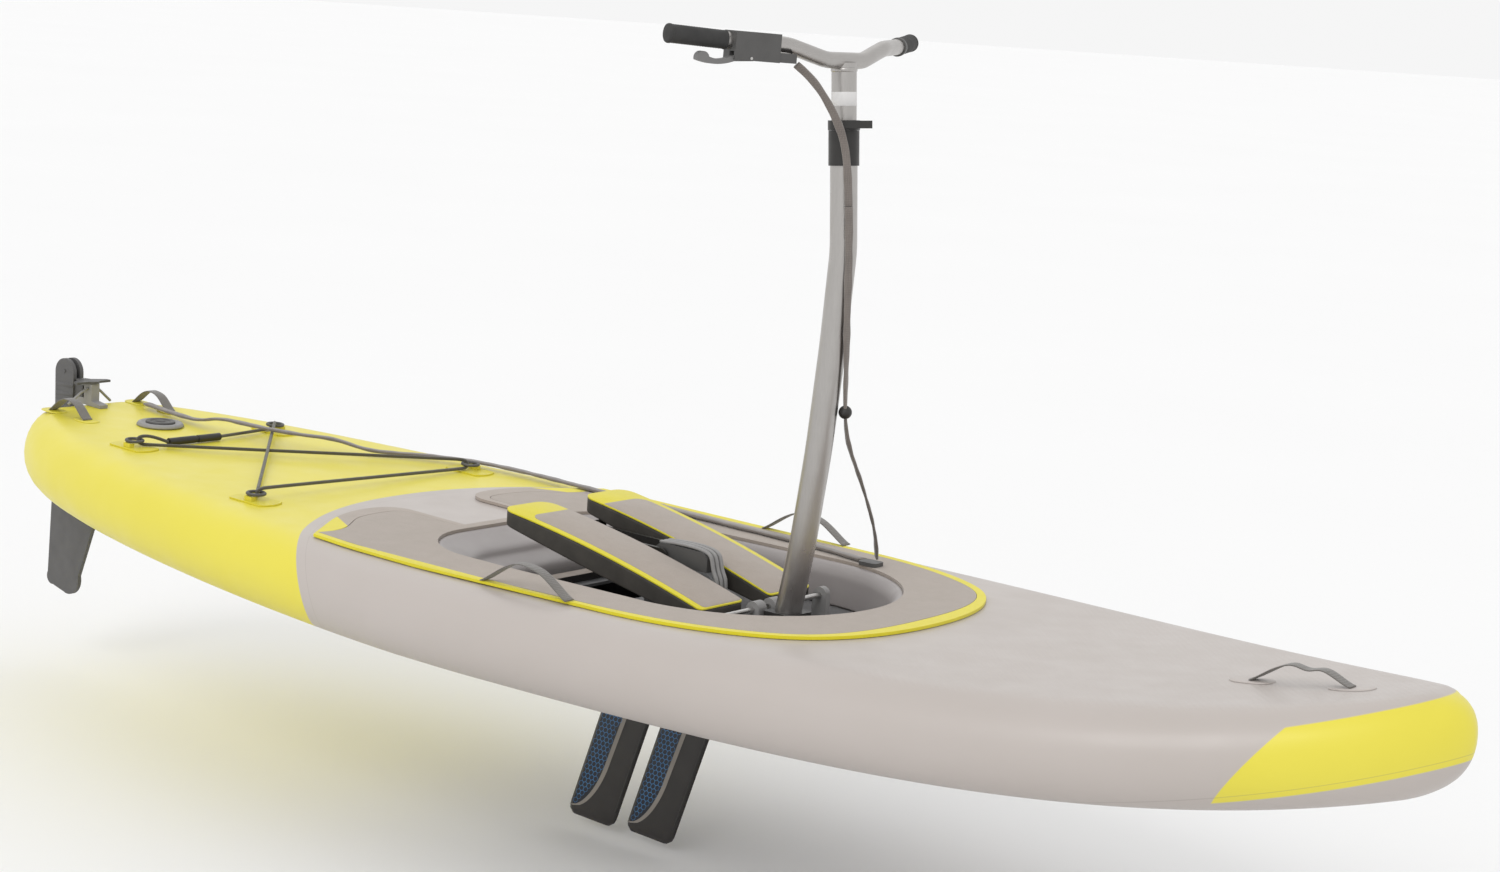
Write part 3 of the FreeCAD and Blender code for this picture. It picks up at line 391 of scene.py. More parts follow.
def hull_material():
    """Coated drop-stitch fabric: yellow stern and bow patch, grey between, fine woven grain."""
    m = Nodes("hull_skin", "gloss_plastic", 0.42, coat=0.12)
    x, y, z = m.axes()[:3]
    side = m.math("ABSOLUTE", y)
    bend = m.mul(m.math("POWER", side, 2.2), 1.05)
    low = m.mul(m.math("POWER", m.sub(0.165, z, clamp=True), 1.6), 1.15)
    border = m.sub(m.sub(x, bend), low)
    middle = m.step(border, -0.603, 0.001)
    seam = m.line(border, -0.578)
    along = m.math("DIVIDE", m.math("MAXIMUM", x, 0.01), BOW)
    rocker = m.mul(m.math("POWER", along, BOW_CURVE), BOW_RISE)
    level = m.sub(z, rocker)
    slant = m.sub(x, m.mul(level, 0.75))
    reach = m.sub(x, 1.46)
    top = m.sub(level, m.mul(reach, 0.115))
    bottom = m.sub(level, m.mul(reach, 0.11))
    band = m.mul(m.step(bottom, 0.029, 0.001),
                  m.sub(1.0, m.step(top, 0.137, 0.001)))
    patch = m.mul(m.step(slant, 1.360, 0.001), band)
    grain = m.noise(5.0, 3.0)
    grey = m.mix(grain, GREY, GREY_DEEP)
    yellow = m.mix(grain, YELLOW, YELLOW_DEEP)
    base = m.mix(middle, yellow, grey)
    base = m.mix(patch, base, yellow)
    seams = m.math("MAXIMUM", m.mul(m.line(bottom, 0.039), 0.35), m.mul(seam, 0.25))
    m.colour(m.mix(seams, base, linear(120, 112, 104)))
    wave = m.make("ShaderNodeTexWave", Vector=m.spot, Scale=38.0, Distortion=0.0)
    wave.bands_direction = "DIAGONAL"
    hatch = m.mul(wave.outputs["Fac"], m.step(x, 0.78, 0.03))
    hatch = m.mul(hatch, m.step(level, 0.160, 0.002))
    under = m.bump(hatch, 0.0006, 0.5)
    weave = m.noise(900.0, 2.0)
    lumps = m.noise(7.0, 2.0)
    m.bump(m.add(m.mul(weave, 0.12), lumps), 0.003, 0.16, under)
    m.roughness(0.36, 0.48, 14.0)
    return m.material


def skin_material(name, first, second, grain=700.0):
    m = Nodes(name, "gloss_plastic", 0.45, coat=0.08)
    m.colour(m.varied(first, second, 9.0))
    m.bump(m.noise(grain, 2.0), 0.0006, 0.35)
    m.roughness(0.38, 0.52, 22.0)
    return m.material


def foam_surface(m, pores):
    m.bump(m.add(pores, m.noise(180.0, 4.0)), 0.0006, 0.45)
    m.roughness(0.74, 0.9, 60.0)
    return m.material


def foam_material(name, first, second):
    """Closed-cell foam: fine pores, faint brushed mottling."""
    m = Nodes(name, "rubber", 0.82, sheen=0.25)
    mottled = m.varied(first, second, 26.0, 6.0)
    pores = m.make("ShaderNodeTexVoronoi", Vector=m.spot, Scale=620.0).outputs["Distance"]
    m.colour(m.mix(m.mul(pores, 0.22), mottled, tuple(0.55 * c for c in second)))
    return foam_surface(m, pores)


def webbing_material(name, first, second, scale=1.0):
    """Woven strap: two crossed sets of threads."""
    m = Nodes(name, "fabric", 0.78, sheen=0.35)
    threads = []
    for direction in ("X", "Y", "Z"):
        wave = m.make("ShaderNodeTexWave", Vector=m.spot, Scale=150.0 * scale, Distortion=1.4)
        wave.bands_direction = direction
        threads.append(wave.outputs["Fac"])
    cross = m.mul(m.add(threads[0], threads[1]), threads[2])
    m.colour(m.mix(m.mul(cross, 0.55), m.varied(first, second, 30.0), second))
    m.bump(cross, 0.0005, 0.6)
    m.roughness(0.68, 0.86, 40.0)
    return m.material


def plastic_material(name, first, second, low=0.42, high=0.6, grain=420.0, kind="matte_plastic"):
    m = Nodes(name, kind, 0.5)
    m.colour(m.varied(first, second, 24.0, 6.0))
    m.bump(m.noise(grain, 3.0), 0.0004, 0.4)
    m.roughness(low, high, 45.0)
    return m.material


def metal_material(name, first, second, stretch, kind="aluminium", low=0.26, high=0.4):
    """Satin metal with fine drawn lines along its length."""
    m = Nodes(name, kind, 0.3, metallic=1.0)
    lines = m.noise(60.0, 6.0, 0.7, m.scaled(*stretch))
    m.colour(m.mix(lines, first, second))
    m.bump(lines, 0.0003, 0.25)
    m.roughness(low, high, 18.0)
    return m.material


def fin_material():
    m = Nodes("fin_black", "matte_plastic", 0.42)
    m.colour(m.varied(linear(52, 48, 46), linear(34, 32, 31), 12.0, 5.0))
    m.bump(m.noise(300.0, 3.0), 0.0004, 0.35)
    m.roughness(0.34, 0.5, 30.0)
    return m.material


def beam_material():
    """The cross beam: foam on top, black plastic on its sides."""
    m = Nodes("cross_beam", "matte_plastic", 0.6)
    normal = m.make("ShaderNodeNewGeometry").outputs["Normal"]
    facing = m.make("ShaderNodeSeparateXYZ", Vector=normal).outputs[2]
    m.colour(m.mix(m.step(facing, 0.7, 0.1), m.varied(BLACK, linear(44, 42, 40), 30.0),
                   m.varied(TAUPE, TAUPE_DEEP, 30.0)))
    m.bump(m.noise(500.0, 3.0), 0.0004, 0.4)
    m.roughness(0.5, 0.75, 40.0)
    return m.material


def border_material():
    """The pad's border: yellow along its sides and front, the pad's own colour at its aft end."""
    m = Nodes("pad_border_foam", "rubber", 0.82, sheen=0.25)
    x, y = m.axes()[:2]
    sides = m.add(m.math("ABSOLUTE", y), m.mul(x, -0.55))
    yellow = m.math("MAXIMUM", m.step(x, -0.25, 0.0008), m.step(sides, 0.548, 0.0008))
    pores = m.make("ShaderNodeTexVoronoi", Vector=m.spot, Scale=620.0).outputs["Distance"]
    bright = m.varied(BRIGHT, BRIGHT_DEEP, 26.0, 6.0)
    plain = m.varied(TAUPE, TAUPE_DEEP, 26.0, 6.0)
    m.colour(m.mix(yellow, plain, bright))
    return foam_surface(m, pores)


MATERIALS = {
    "hull": hull_material(),
    "patch": skin_material("deck_patch_yellow", YELLOW_DEEP, linear(210, 198, 52)),
    "fairing": skin_material("well_fairing_grey", linear(160, 154, 152), linear(146, 140, 139),
                             500.0),
    "pad": foam_material("pad_foam", TAUPE, TAUPE_DEEP),
    "pad_yellow": foam_material("pad_foam_yellow", BRIGHT, BRIGHT_DEEP),
    "strap": webbing_material("strap_weave", STRAP, STRAP_LIGHT),
    "sleeve": webbing_material("sleeve_weave", linear(88, 82, 79), linear(128, 120, 114), 0.7),
    "cord": webbing_material("shock_cord", linear(52, 50, 44), linear(84, 80, 66), 2.2),
    "charcoal": plastic_material("charcoal_plastic", CHARCOAL, linear(72, 71, 70)),
    "black": plastic_material("black_plastic", BLACK, linear(44, 42, 40), 0.34, 0.52),
    "light": plastic_material("light_plastic", linear(150, 149, 148), linear(134, 132, 131)),
    "tray": plastic_material("tray_plastic", linear(120, 120, 121), linear(98, 98, 99), 0.3, 0.45),
    "rubber": plastic_material("grip_rubber", linear(40, 40, 40), linear(54, 53, 52), 0.6, 0.8,
                               700.0, "rubber"),
    "mottled": plastic_material("pedal_edge", linear(38, 36, 33), linear(72, 68, 62), 0.5, 0.75,
                                120.0, "rubber"),
    "aluminium": metal_material("satin_aluminium", linear(186, 183, 180), linear(168, 165, 162),
                                (8, 8, 0.6)),
    "bar_aluminium": metal_material("bar_aluminium", linear(184, 181, 178),
                                    linear(166, 163, 160), (8, 0.8, 8)),
    "steel": metal_material("bright_steel", linear(205, 204, 202), linear(180, 178, 176),
                            (3, 3, 3), "brushed_steel", 0.2, 0.34),
    "fin": fin_material(),
    "fin_band": plastic_material("fin_band_grey", linear(148, 142, 134), linear(132, 126, 118)),
    "fin_blue": plastic_material("fin_mesh_blue", linear(78, 134, 184), linear(60, 112, 162)),
    "fin_dark": plastic_material("fin_window", linear(24, 30, 44), linear(18, 22, 32), 0.25, 0.4),
    "rudder": plastic_material("rudder_grey", linear(92, 91, 91), linear(80, 79, 79)),
    "label": plastic_material("label_foil", linear(222, 221, 220), linear(206, 204, 203)),
    "pad_border": border_material(),
    "beam": beam_material(),
    "grey_patch": skin_material("deck_patch_grey", GREY, GREY_DEEP),
    "lever_grey": plastic_material("lever_grey", linear(120, 119, 118), linear(104, 103, 102)),
    "thread": webbing_material("stitch_thread", linear(128, 122, 116), linear(150, 144, 138),
                               3.0),
}


def paint(thing, name):
    thing.data.materials.clear()
    thing.data.materials.append(MATERIALS[name])
    return thing


def finish_piece(thing, body, material, *covers, slot=None):
    """Material, body and the CAD nodes that a piece stands for; its slot argument is not used."""
    paint(thing, material)
    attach(thing, body)
    if covers:
        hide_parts(*covers)
    return thing


def softened(name, node, width):
    """A copy of a CAD node's mesh with clean faces and rounded edges."""
    data = nodes[node].data.copy()
    thing = link(name, data)
    mesh = bmesh.new()
    mesh.from_mesh(data)
    bmesh.ops.remove_doubles(mesh, verts=mesh.verts, dist=0.00002)
    bmesh.ops.dissolve_limit(mesh, angle_limit=math.radians(2), verts=mesh.verts,
                             edges=mesh.edges)
    mesh.to_mesh(data)
    mesh.free()
    add_bevel(thing, width, 32)
    baked(thing)
    smooth_shaded(thing.data)
    add_modifier(thing, "WEIGHTED_NORMAL", keep_sharp=True, weight=60)
    return thing


# ---------------- cords

UPPER_ROUTE = [(0.409, -0.129, 1.105), (0.421, -0.113, 1.091), (0.434, -0.088, 1.064),
               (0.446, -0.058, 1.022), (0.4555, -0.038, 0.978), (0.4615, -0.030, 0.925),
               (0.4655, -0.026, 0.868)]
LOWER_ROUTE = [(0.4655, -0.026, 0.8675), (0.468, -0.022, 0.815), (0.4683, -0.017, 0.760),
               (0.4669, -0.011, 0.700), (0.4656, -0.004, 0.640), (0.4634, 0.005, 0.580),
               (0.458, 0.016, 0.525), (0.451, 0.033, 0.474), (0.441, 0.064, 0.430),
               (0.430, 0.108, 0.386), (0.418, 0.158, 0.331), (0.402, 0.210, 0.275),
               (0.386, 0.250, 0.228), (0.368, 0.280, 0.194)]
DECK_ROUTE = [(0.323, 0.305), (0.262, 0.319), (0.196, 0.330), (0.128, 0.339), (0.056, 0.346),
              (-0.018, 0.350), (-0.094, 0.355), (-0.172, 0.356), (-0.250, 0.360), (-0.328, 0.359),
              (-0.406, 0.361), (-0.482, 0.361), (-0.556, 0.361), (-0.628, 0.356), (-0.692, 0.347),
              (-0.750, 0.328), (-0.805, 0.296), (-0.856, 0.251), (-0.908, 0.203), (-0.964, 0.160),
              (-1.026, 0.118), (-1.092, 0.097), (-1.162, 0.084), (-1.232, 0.076), (-1.302, 0.073),
              (-1.370, 0.075), (-1.434, 0.080), (-1.490, 0.088)]
OVER_FROM, OVER_TO, OVER_CORD = -1.240, -0.960, 0.019
SLEEVE_LIFT = 0.0122
SLEEVE_WIDTH, SLEEVE_THICK = 0.019, 0.006
HUNG_WIDTH = 0.014
RINGS = {"aft_port": (-1.190, 0.195), "aft_starboard": (-1.190, -0.195),
         "forward_port": (-0.700, 0.300), "forward_starboard": (-0.700, -0.300)}
LACED = ["aft_port", "forward_starboard", "forward_port", "aft_starboard"]
LOCK_ENDS = [(-1.165, 0.016), (-1.168, -0.124)]
LOCK_LIFT, CORD_WIDE = 0.0095, 0.007
THREAD_LOW, THREAD_HIGH = 0.008, 0.0235
MAST_LINE = [(0.0, 0.372), (0.092, 0.372), (0.252, 0.399), (0.430, 0.420), (0.620, 0.4345),
             (0.788, 0.4425), (0.954, 0.4284), (1.2, 0.4075)]


def mast_x(z):
    """Where the middle of the mast is at a height."""
    for (low, x0), (high, x1) in zip(MAST_LINE, MAST_LINE[1:]):
        if z <= high:
            return x0 + (x1 - x0) * (z - low) / (high - low)
    return MAST_LINE[-1][1]


def off_mast(point, _share):
    """The sleeve lies flat against the mast, and turns flat to the deck below it."""
    away = Vector((point.x - mast_x(point.z), point.y, 0)).normalized()
    share = min(1.0, max(0.0, (0.47 - point.z) / 0.16))
    return away.lerp(Vector((0.75, 0.2, 0.62)), share).normalized()


def flat_on_deck(_point, _share):
    return UP


def make_sleeves():
    upper, lower = smooth_path(UPPER_ROUTE), smooth_path(LOWER_ROUTE)
    route = [(x, y, deck_z(x) + SLEEVE_LIFT + (OVER_CORD if OVER_FROM < x < OVER_TO else 0))
             for x, y in DECK_ROUTE]
    deck = smooth_path(route)
    top = ribbon("sleeve_upper_weave", upper, off_mast, HUNG_WIDTH, SLEEVE_THICK, 0.05)
    paint(top, "sleeve")
    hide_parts("sleeve_upper")
    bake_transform(top)
    down = ribbon("sleeve_lower_weave", lower, off_mast, HUNG_WIDTH, SLEEVE_THICK, 0.06)
    finish_piece(down, "board", "sleeve", "sleeve_lower", slot="sleeve")
    flat = ribbon("sleeve_deck_weave", deck, flat_on_deck, SLEEVE_WIDTH, SLEEVE_THICK, 0.05)
    finish_piece(flat, "board", "sleeve", "sleeve_deck", slot="sleeve")


def thread(ring, before, after):
    """The cord's points at a ring: in under its bar, up through it, and out over the bar."""
    x, y = RINGS[ring]
    spots = []
    for other, steps in ((before, ((0.040, THREAD_LOW), (0.007, THREAD_LOW))),
                         (after, ((0.007, THREAD_HIGH), (0.040, THREAD_HIGH)))):
        way = Vector((other[0] - x, other[1] - y)).normalized()
        for reach, lift in steps:
            at_x = x + way.x * reach
            spots.append((at_x, y + way.y * reach, deck_z(at_x) + lift))
    return spots


def make_bungee():
    stops = [LOCK_ENDS[0], *(RINGS[ring] for ring in LACED), LOCK_ENDS[1]]
    route = [(*LOCK_ENDS[0], deck_z(LOCK_ENDS[0][0]) + LOCK_LIFT)]
    for i, ring in enumerate(LACED):
        route += thread(ring, stops[i], stops[i + 2])
    route.append((*LOCK_ENDS[1], deck_z(LOCK_ENDS[1][0]) + LOCK_LIFT))
    cord = route_line("bungee_line", route, CORD_WIDE / 2)
    finish_piece(cord, "board", "cord", "bungee_cord", slot="cord")
    line_length(smooth_path(route))


make_sleeves()
make_bungee()


# ---------------- hull

STATIONS = 260
ROUND_STEPS = 14
DECK_STEPS = 26
BITE_X, BITE_R = -1.672, 0.068   # the round bite in the stern, for the rudder


def hull_section(x):
    """Points round the hull at a station: deck from starboard to port, rail, bottom, rail."""
    wide, middle = half_width(x), middle_z(x)
    inset = min(x - STERN, BOW - x, HALF)
    high = math.sqrt(HALF ** 2 - (HALF - inset) ** 2)
    radius = HALF if wide > 2 * HALF else min(HALF, wide * 0.92)
    flat = wide - radius
    points = []
    for i in range(DECK_STEPS + 1):
        points.append((x, -flat + 2 * flat * i / DECK_STEPS, middle + high))
    for i in range(1, ROUND_STEPS):
        turn = math.pi / 2 - math.pi * i / ROUND_STEPS
        points.append((x, flat + radius * math.cos(turn), middle + high * math.sin(turn)))
    for i in range(DECK_STEPS + 1):
        points.append((x, flat - 2 * flat * i / DECK_STEPS, middle - high))
    for i in range(1, ROUND_STEPS):
        turn = -math.pi / 2 - math.pi * i / ROUND_STEPS
        points.append((x, -flat + radius * math.cos(turn), middle + high * math.sin(turn)))
    return points


def stations():
    """Stations along the hull, close together at the two ends."""
    spots = []
    for i in range(STATIONS + 1):
        share = 0.5 - 0.5 * math.cos(math.pi * i / STATIONS)
        spots.append(STERN + 0.0002 + (BOW - STERN - 0.0004) * share)
    return spots


def make_hull():
    verts, faces = [], []
    rows = [hull_section(x) for x in stations()]
    count = len(rows[0])
    for row in rows:
        verts.extend(row)
    for i in range(len(rows) - 1):
        for j in range(count):
            k = (j + 1) % count
            faces.append((i * count + j, (i + 1) * count + j, (i + 1) * count + k, i * count + k))
    faces += [ring_face(0, count), ring_face(len(rows) - 1, count)[::-1]]
    hull = mesh_from("board_skin", verts, faces)
    tidy_normals(hull)
    opening = prism("well_tool", well_outline(0))
    circle = [(BITE_X + BITE_R * math.cos(2 * math.pi * i / 64),
               BITE_R * math.sin(2 * math.pi * i / 64)) for i in range(64)]
    bite = prism("bite_tool", circle)
    for tool in (opening, bite):
        add_modifier(hull, "BOOLEAN", operation="DIFFERENCE", object=tool, solver="EXACT")
        baked(hull)
        bpy.data.objects.remove(tool)
    smooth_shaded(hull.data)
    split_edges(hull, 50)
    finish_piece(hull, "board", "hull", "hull", slot="hull")


def prism(name, outline, low=-0.2, high=0.5):
    """An upright solid that cuts right through the board."""
    count = len(outline)
    verts = [(x, y, low) for x, y in outline] + [(x, y, high) for x, y in outline]
    faces = tube_faces(2, count) + [ring_face(0, count)[::-1], ring_face(1, count)]
    tool = mesh_from(name, verts, faces, smooth=False)
    tidy_normals(tool)
    return tool


make_hull()


# ---------------- pads

PAD_EDGE = 0.002                 # radius of the foam's edges


def soften_pads():
    for node, material, slot in (("deck_pad", "pad", "pad"),
                                 ("deck_pad_border", "pad_border", "yellow_pad")):
        piece = softened(node + "_foam", node, PAD_EDGE)
        finish_piece(piece, "board", material, node, slot=slot)


soften_pads()


# ---------------- pedals

TREAD_TOP = ((0.318, 0.139), (0.075, 0.204), (-0.168, 0.247))
TREAD_BOTTOM = ((0.300, 0.115), (0.060, 0.164), (-0.174, 0.219))
PEDAL_INNER, PEDAL_OUTER, PEDAL_SKEW = 0.038, 0.164, math.tan(math.radians(1.5))
FOAM = 0.004


def parabola(points, x):
    """Height at x on the curve through three points."""
    total = 0.0
    for i, (xi, zi) in enumerate(points):
        weight = 1.0
        for j, (xj, _) in enumerate(points):
            if i != j:
                weight *= (x - xj) / (xi - xj)
        total += zi * weight
    return total


def rounded_plan(x0, x1, y0, y1, radii, steps=10):
    """A plan outline with its own corner radii: aft outer, front outer, front inner, aft inner."""
    corners = [(x0, y1, radii[0], math.pi), (x1, y1, radii[1], math.pi / 2),
               (x1, y0, radii[2], 0.0), (x0, y0, radii[3], -math.pi / 2)]
    points = []
    for x, y, radius, start in corners:
        cx = x + radius if x == x0 else x - radius
        cy = y - radius if y == y1 else y + radius
        for k in range(steps + 1):
            turn = start - math.pi / 2 * k / steps
            points.append((cx + radius * math.cos(turn), cy + radius * math.sin(turn)))
    return points


def tread_slab(name, side, plan, top, bottom, edge):
    """A slab over a plan outline between two heights given at each x, with rounded edges."""
    centre = (sum(p[0] for p in plan) / len(plan), sum(p[1] for p in plan) / len(plan))
    rings = [(1, 1, 0.0), (0, 1, edge * 0.3), (0, 1, edge), (0, 0, edge), (0, 0, edge * 0.3),
             (1, 0, 0.0)]
    verts, faces, count = [], [], len(plan)

    def put(x, y, z):
        verts.append((x, side * (y + (x - 0.3) * -PEDAL_SKEW), z))

    layers = []
    for shrink, high, drop in rings:
        layer = []
        for x, y in plan:
            away = Vector((x - centre[0], y - centre[1]))
            pull = edge * 0.8 if shrink else 0.0
            at = Vector((x, y)) - Vector((math.copysign(min(abs(away.x), pull), away.x),
                                          math.copysign(min(abs(away.y), pull), away.y)))
            layer.append(len(verts))
            put(at.x, at.y, top(at.x) - drop if high else bottom(at.x) + drop)
        layers.append(layer)
    for low, high in zip(layers, layers[1:]):
        for i in range(count):
            k = (i + 1) % count
            faces.append((low[i], low[k], high[k], high[i]))
    half = count // 2
    for layer in (layers[0], layers[-1]):
        for i in range(half - 1):
            a, b = layer[i], layer[i + 1]
            c, d = layer[count - 2 - i], layer[count - 1 - i]
            faces.append((a, b, c, d))
    piece = mesh_from(name, verts, faces)
    tidy_normals(piece, weld=0.00001)
    return piece


def even_plan(plan, step=0.012):
    """The same outline with more points on its long sides."""
    points = []
    for i, (x, y) in enumerate(plan):
        nx, ny = plan[(i + 1) % len(plan)]
        count = max(1, round(math.hypot(nx - x, ny - y) / step))
        points += [(x + (nx - x) * k / count, y + (ny - y) * k / count) for k in range(count)]
    return points


def tread_top(x):
    return parabola(TREAD_TOP, x)


def make_pedals():
    for side, word in SIDES:
        body = f"pedal_{word}"
        full = even_plan(rounded_plan(-0.170, 0.306, PEDAL_INNER, PEDAL_OUTER,
                                      (0.030, 0.010, 0.010, 0.030)))
        band = tread_slab(f"pedal_band_{word}", side, full, lambda x: tread_top(x) - FOAM,
                          lambda x: parabola(TREAD_BOTTOM, x), 0.004)
        finish_piece(band, body, "mottled", f"pedal_{word}", slot="black_plastic")
        trim = tread_slab(f"pedal_trim_foam_{word}", side, full, lambda x: tread_top(x) - 0.0004,
                          lambda x: tread_top(x) - FOAM + 0.0001, 0.0015)
        finish_piece(trim, body, "pad_yellow", f"pedal_trim_{word}", slot="yellow_pad")
        inner = even_plan(rounded_plan(-0.112, 0.3035, PEDAL_INNER + 0.0015, PEDAL_OUTER - 0.014,
                                       (0.026, 0.008, 0.008, 0.004)))
        foam = tread_slab(f"pedal_tread_foam_{word}", side, inner, lambda x: tread_top(x) + 0.0004,
                          lambda x: tread_top(x) - 0.0030, 0.0010)
        finish_piece(foam, body, "pad", f"pedal_foam_{word}", slot="pad")


make_pedals()


# ---------------- well fairing

# Rows of the fairing: how far in from the opening, how much further at the aft end, and how high.
FAIRING_ROWS = [(-0.0055, 0, 0.0012), (-0.0020, 0, 0.0017), (0.0035, 0, 0.0004),
                (0.0085, 0.004, -0.0042), (0.0130, 0.016, -0.0105), (0.0160, 0.036, -0.0185),
                (0.0172, 0.048, -0.0240), (0.0176, 0.050, -0.0345), (0.0180, 0.054, -0.0385),
                (0.0184, 0.080, -0.0455), (0.0187, 0.096, -0.0520), (0.0190, 0.100, -0.0590),
                (0.0192, 0.102, -0.0700), (0.0193, 0.104, -0.1000)]
FAIRING_FLOOR = 0.0872


def make_fairing():
    """The moulding that rolls from the deck down into the well, with two steps at its aft end."""
    outline = [Vector((x, y)) for x, y in well_outline(0, 48)]
    outline = [p for i, p in enumerate(outline) if (p - outline[i - 1]).length > 0.0005]
    ring = []
    for i, point in enumerate(outline):
        after = outline[(i + 1) % len(outline)]
        count = max(1, round((after - point).length / 0.02))
        ring += [point.lerp(after, k / count) for k in range(count)]
    verts, count = [], len(ring)
    for inset, extra, drop in FAIRING_ROWS:
        for i, point in enumerate(ring):
            along = (ring[(i + 1) % count] - ring[i - 1]).normalized()
            inward = Vector((-along.y, along.x))
            share = min(1.0, max(0.0, (-0.12 - point.x) / 0.17))
            share = share * share * (3 - 2 * share)
            spot = point + inward * (inset + extra * share)
            height = max(FAIRING_FLOOR, deck_z(point.x) + drop)
            verts.append((spot.x, spot.y, height))
    fairing = mesh_from("well_fairing", verts, tube_faces(len(FAIRING_ROWS), count))
    tidy_normals(fairing)
    add_modifier(fairing, "SOLIDIFY", thickness=0.0016, offset=-1)
    baked(fairing)
    add_modifier(fairing, "SUBSURF", levels=1, render_levels=1)
    baked(fairing)
    finish_piece(fairing, "board", "fairing", "well_collar", slot="collar")


# ---------------- straps

STITCHES, STITCH_PITCH = 7, 0.003
PATCH_LIFT, PATCH_THICK = 0.0004, 0.0016
STRAP_WIDE, STRAP_THICK = 0.0245, 0.0028


def stitch_rows(name, middle, along, across, normal):
    """Two rows of short raised stitches, as one piece."""
    verts, faces = [], []
    for offset in (-0.008, 0.008):
        for i in range(STITCHES):
            spot = (middle + along * ((i - (STITCHES - 1) / 2) * STITCH_PITCH)
                    + across * offset)
            first = len(verts)
            for a, b, c in ((-1, 0, 0), (-0.6, 0.5, 0.6), (0.6, 0.5, 0.6), (1, 0, 0),
                            (0.6, -0.5, 0.6), (-0.6, -0.5, 0.6), (0, 0, 1)):
                verts.append(spot + along * a * STITCH_PITCH * 0.38 + across * b * 0.0011
                             + normal * c * 0.0007)
            faces += [(first + 6, first + a, first + (a + 1) % 6) for a in range(6)]
    piece = mesh_from(name, verts, faces)
    tidy_normals(piece)
    finish_piece(piece, "board", "thread", slot="webbing")


def patch(name, x, y, long, wide, material):
    """A thin rounded patch that is welded to the deck."""
    verts = []
    rings = ((1.0, 0.0), (0.985, 0.7), (0.95, 1.0), (0.5, 1.0))
    count = 56
    for scale, height in rings:
        for i in range(count):
            turn = 2 * math.pi * i / count
            at_x = x + math.copysign(abs(math.cos(turn)) ** 0.8, math.cos(turn)) * long / 2 * scale
            at_y = y + math.copysign(abs(math.sin(turn)) ** 0.8, math.sin(turn)) * wide / 2 * scale
            verts.append((at_x, at_y, deck_z(at_x) + PATCH_LIFT + PATCH_THICK * height))
    faces = tube_faces(len(rings), count) + [ring_face(len(rings) - 1, count)]
    piece = mesh_from(name, verts, faces)
    tidy_normals(piece)
    finish_piece(piece, "board", material, slot="hull")


def loop_path(x0, x1, y, base, rise, dip=0.0, sway=0.0):
    """A carrying loop's line: flat ends and an arch, which may sag in the middle."""
    points = []
    for k in range(49):
        share = -1 + k / 24
        lift = rise * math.cos(share * math.pi / 2) ** 1.2 if abs(share) < 1 else 0
        lift *= 1 - dip * math.exp(-((share - 0.12) / 0.24) ** 2)
        x = (x0 + x1) / 2 + (x1 - x0) / 2 * share
        points.append(Vector((x, y + sway * math.sin(share * 5), deck_z(x) + base + lift)))
    return points


def make_handle(name, x0, x1, y, base, rise, dip, sway):
    path = loop_path(x0, x1, y, base, rise, dip, sway)
    strap = ribbon(name, path, flat_on_deck, STRAP_WIDE, STRAP_THICK, 0.02)
    for end, point in (("aft", path[1]), ("fore", path[-2])):
        along = (path[2] - path[0] if end == "aft" else path[-1] - path[-3]).normalized()
        normal = along.cross(Vector((0, -1, 0))).normalized()
        if normal.z < 0:
            normal = -normal
        inner = point + along * (0.004 if end == "aft" else -0.004) + normal * 0.0014
        stitch_rows(f"{name}_stitches_{end}", inner, Vector((0, 1, 0)), along, normal)
    return strap


def make_handles():
    sides = [make_handle(f"side_strap_{word}", 0.010, 0.210, side * 0.405, 0.0091, 0.046, 0.05,
                         0.0) for side, word in SIDES]
    ends = [make_handle("bow_strap", 1.298, 1.472, 0, 0.0031, 0.034, 0.30, 0.002)]
    ends += [make_handle(f"stern_strap_{word}", -1.560, -1.440, side * 0.115, 0.0031, 0.034, 0.05,
                         0.001) for side, word in SIDES]
    for strap in sides:
        finish_piece(strap, "board", "strap", "side_handles", slot="webbing")
    for strap in ends:
        finish_piece(strap, "board", "strap", "end_handles", slot="webbing")
    for x in (1.300, 1.470):
        patch(f"bow_patch_{x:.1f}".replace(".", "_"), x, 0, 0.075, 0.050, "grey_patch")
    for side, word in SIDES:
        for x in (-1.555, -1.445):
            patch(f"stern_patch_{word}_{abs(x):.2f}".replace(".", "_"), x, side * 0.115, 0.060,
                  0.046, "patch")


# ---------------- fins

FIN_TOP, FIN_TIP, RAKE, FIN_HALF = -0.044, -0.360, 0.326, 0.004
BAND_LIFT, PANE_LIFT = 0.0013, 0.0009
CELL_PITCH, CELL_INNER, CELL_OUTER = 0.0104, 0.50, 0.585


def fin_spot(lead_x, chord, u, v, lift=0.0):
    """A point on a fin: u from trailing to leading edge, v from top to tip, lift off its side."""
    z = FIN_TOP + (FIN_TIP - FIN_TOP - 0.006 * u) * v
    lead = lead_x + RAKE * (z - FIN_TOP)
    share = min(max(u, 0.0), 1.0)
    thick = 2.6 * FIN_HALF * (1 - share) ** 0.55 * share ** 0.75 * (1 - 0.25 * v)
    return Vector((lead - chord * (1 - u), min(thick, FIN_HALF) + lift, z))


def window_edge(v):
    """The forward edge of a fin's window, bending back to the trailing edge at the tip."""
    if v < 0.62:
        return 0.60 - 0.10 * v
    share = (v - 0.62) / 0.33
    return 0.08 + 0.458 * math.sqrt(max(0.0, 1 - share ** 2.0))


def band_edge(v):
    """The aft edge of the pale band that runs round the window."""
    return window_edge(v) - 0.085


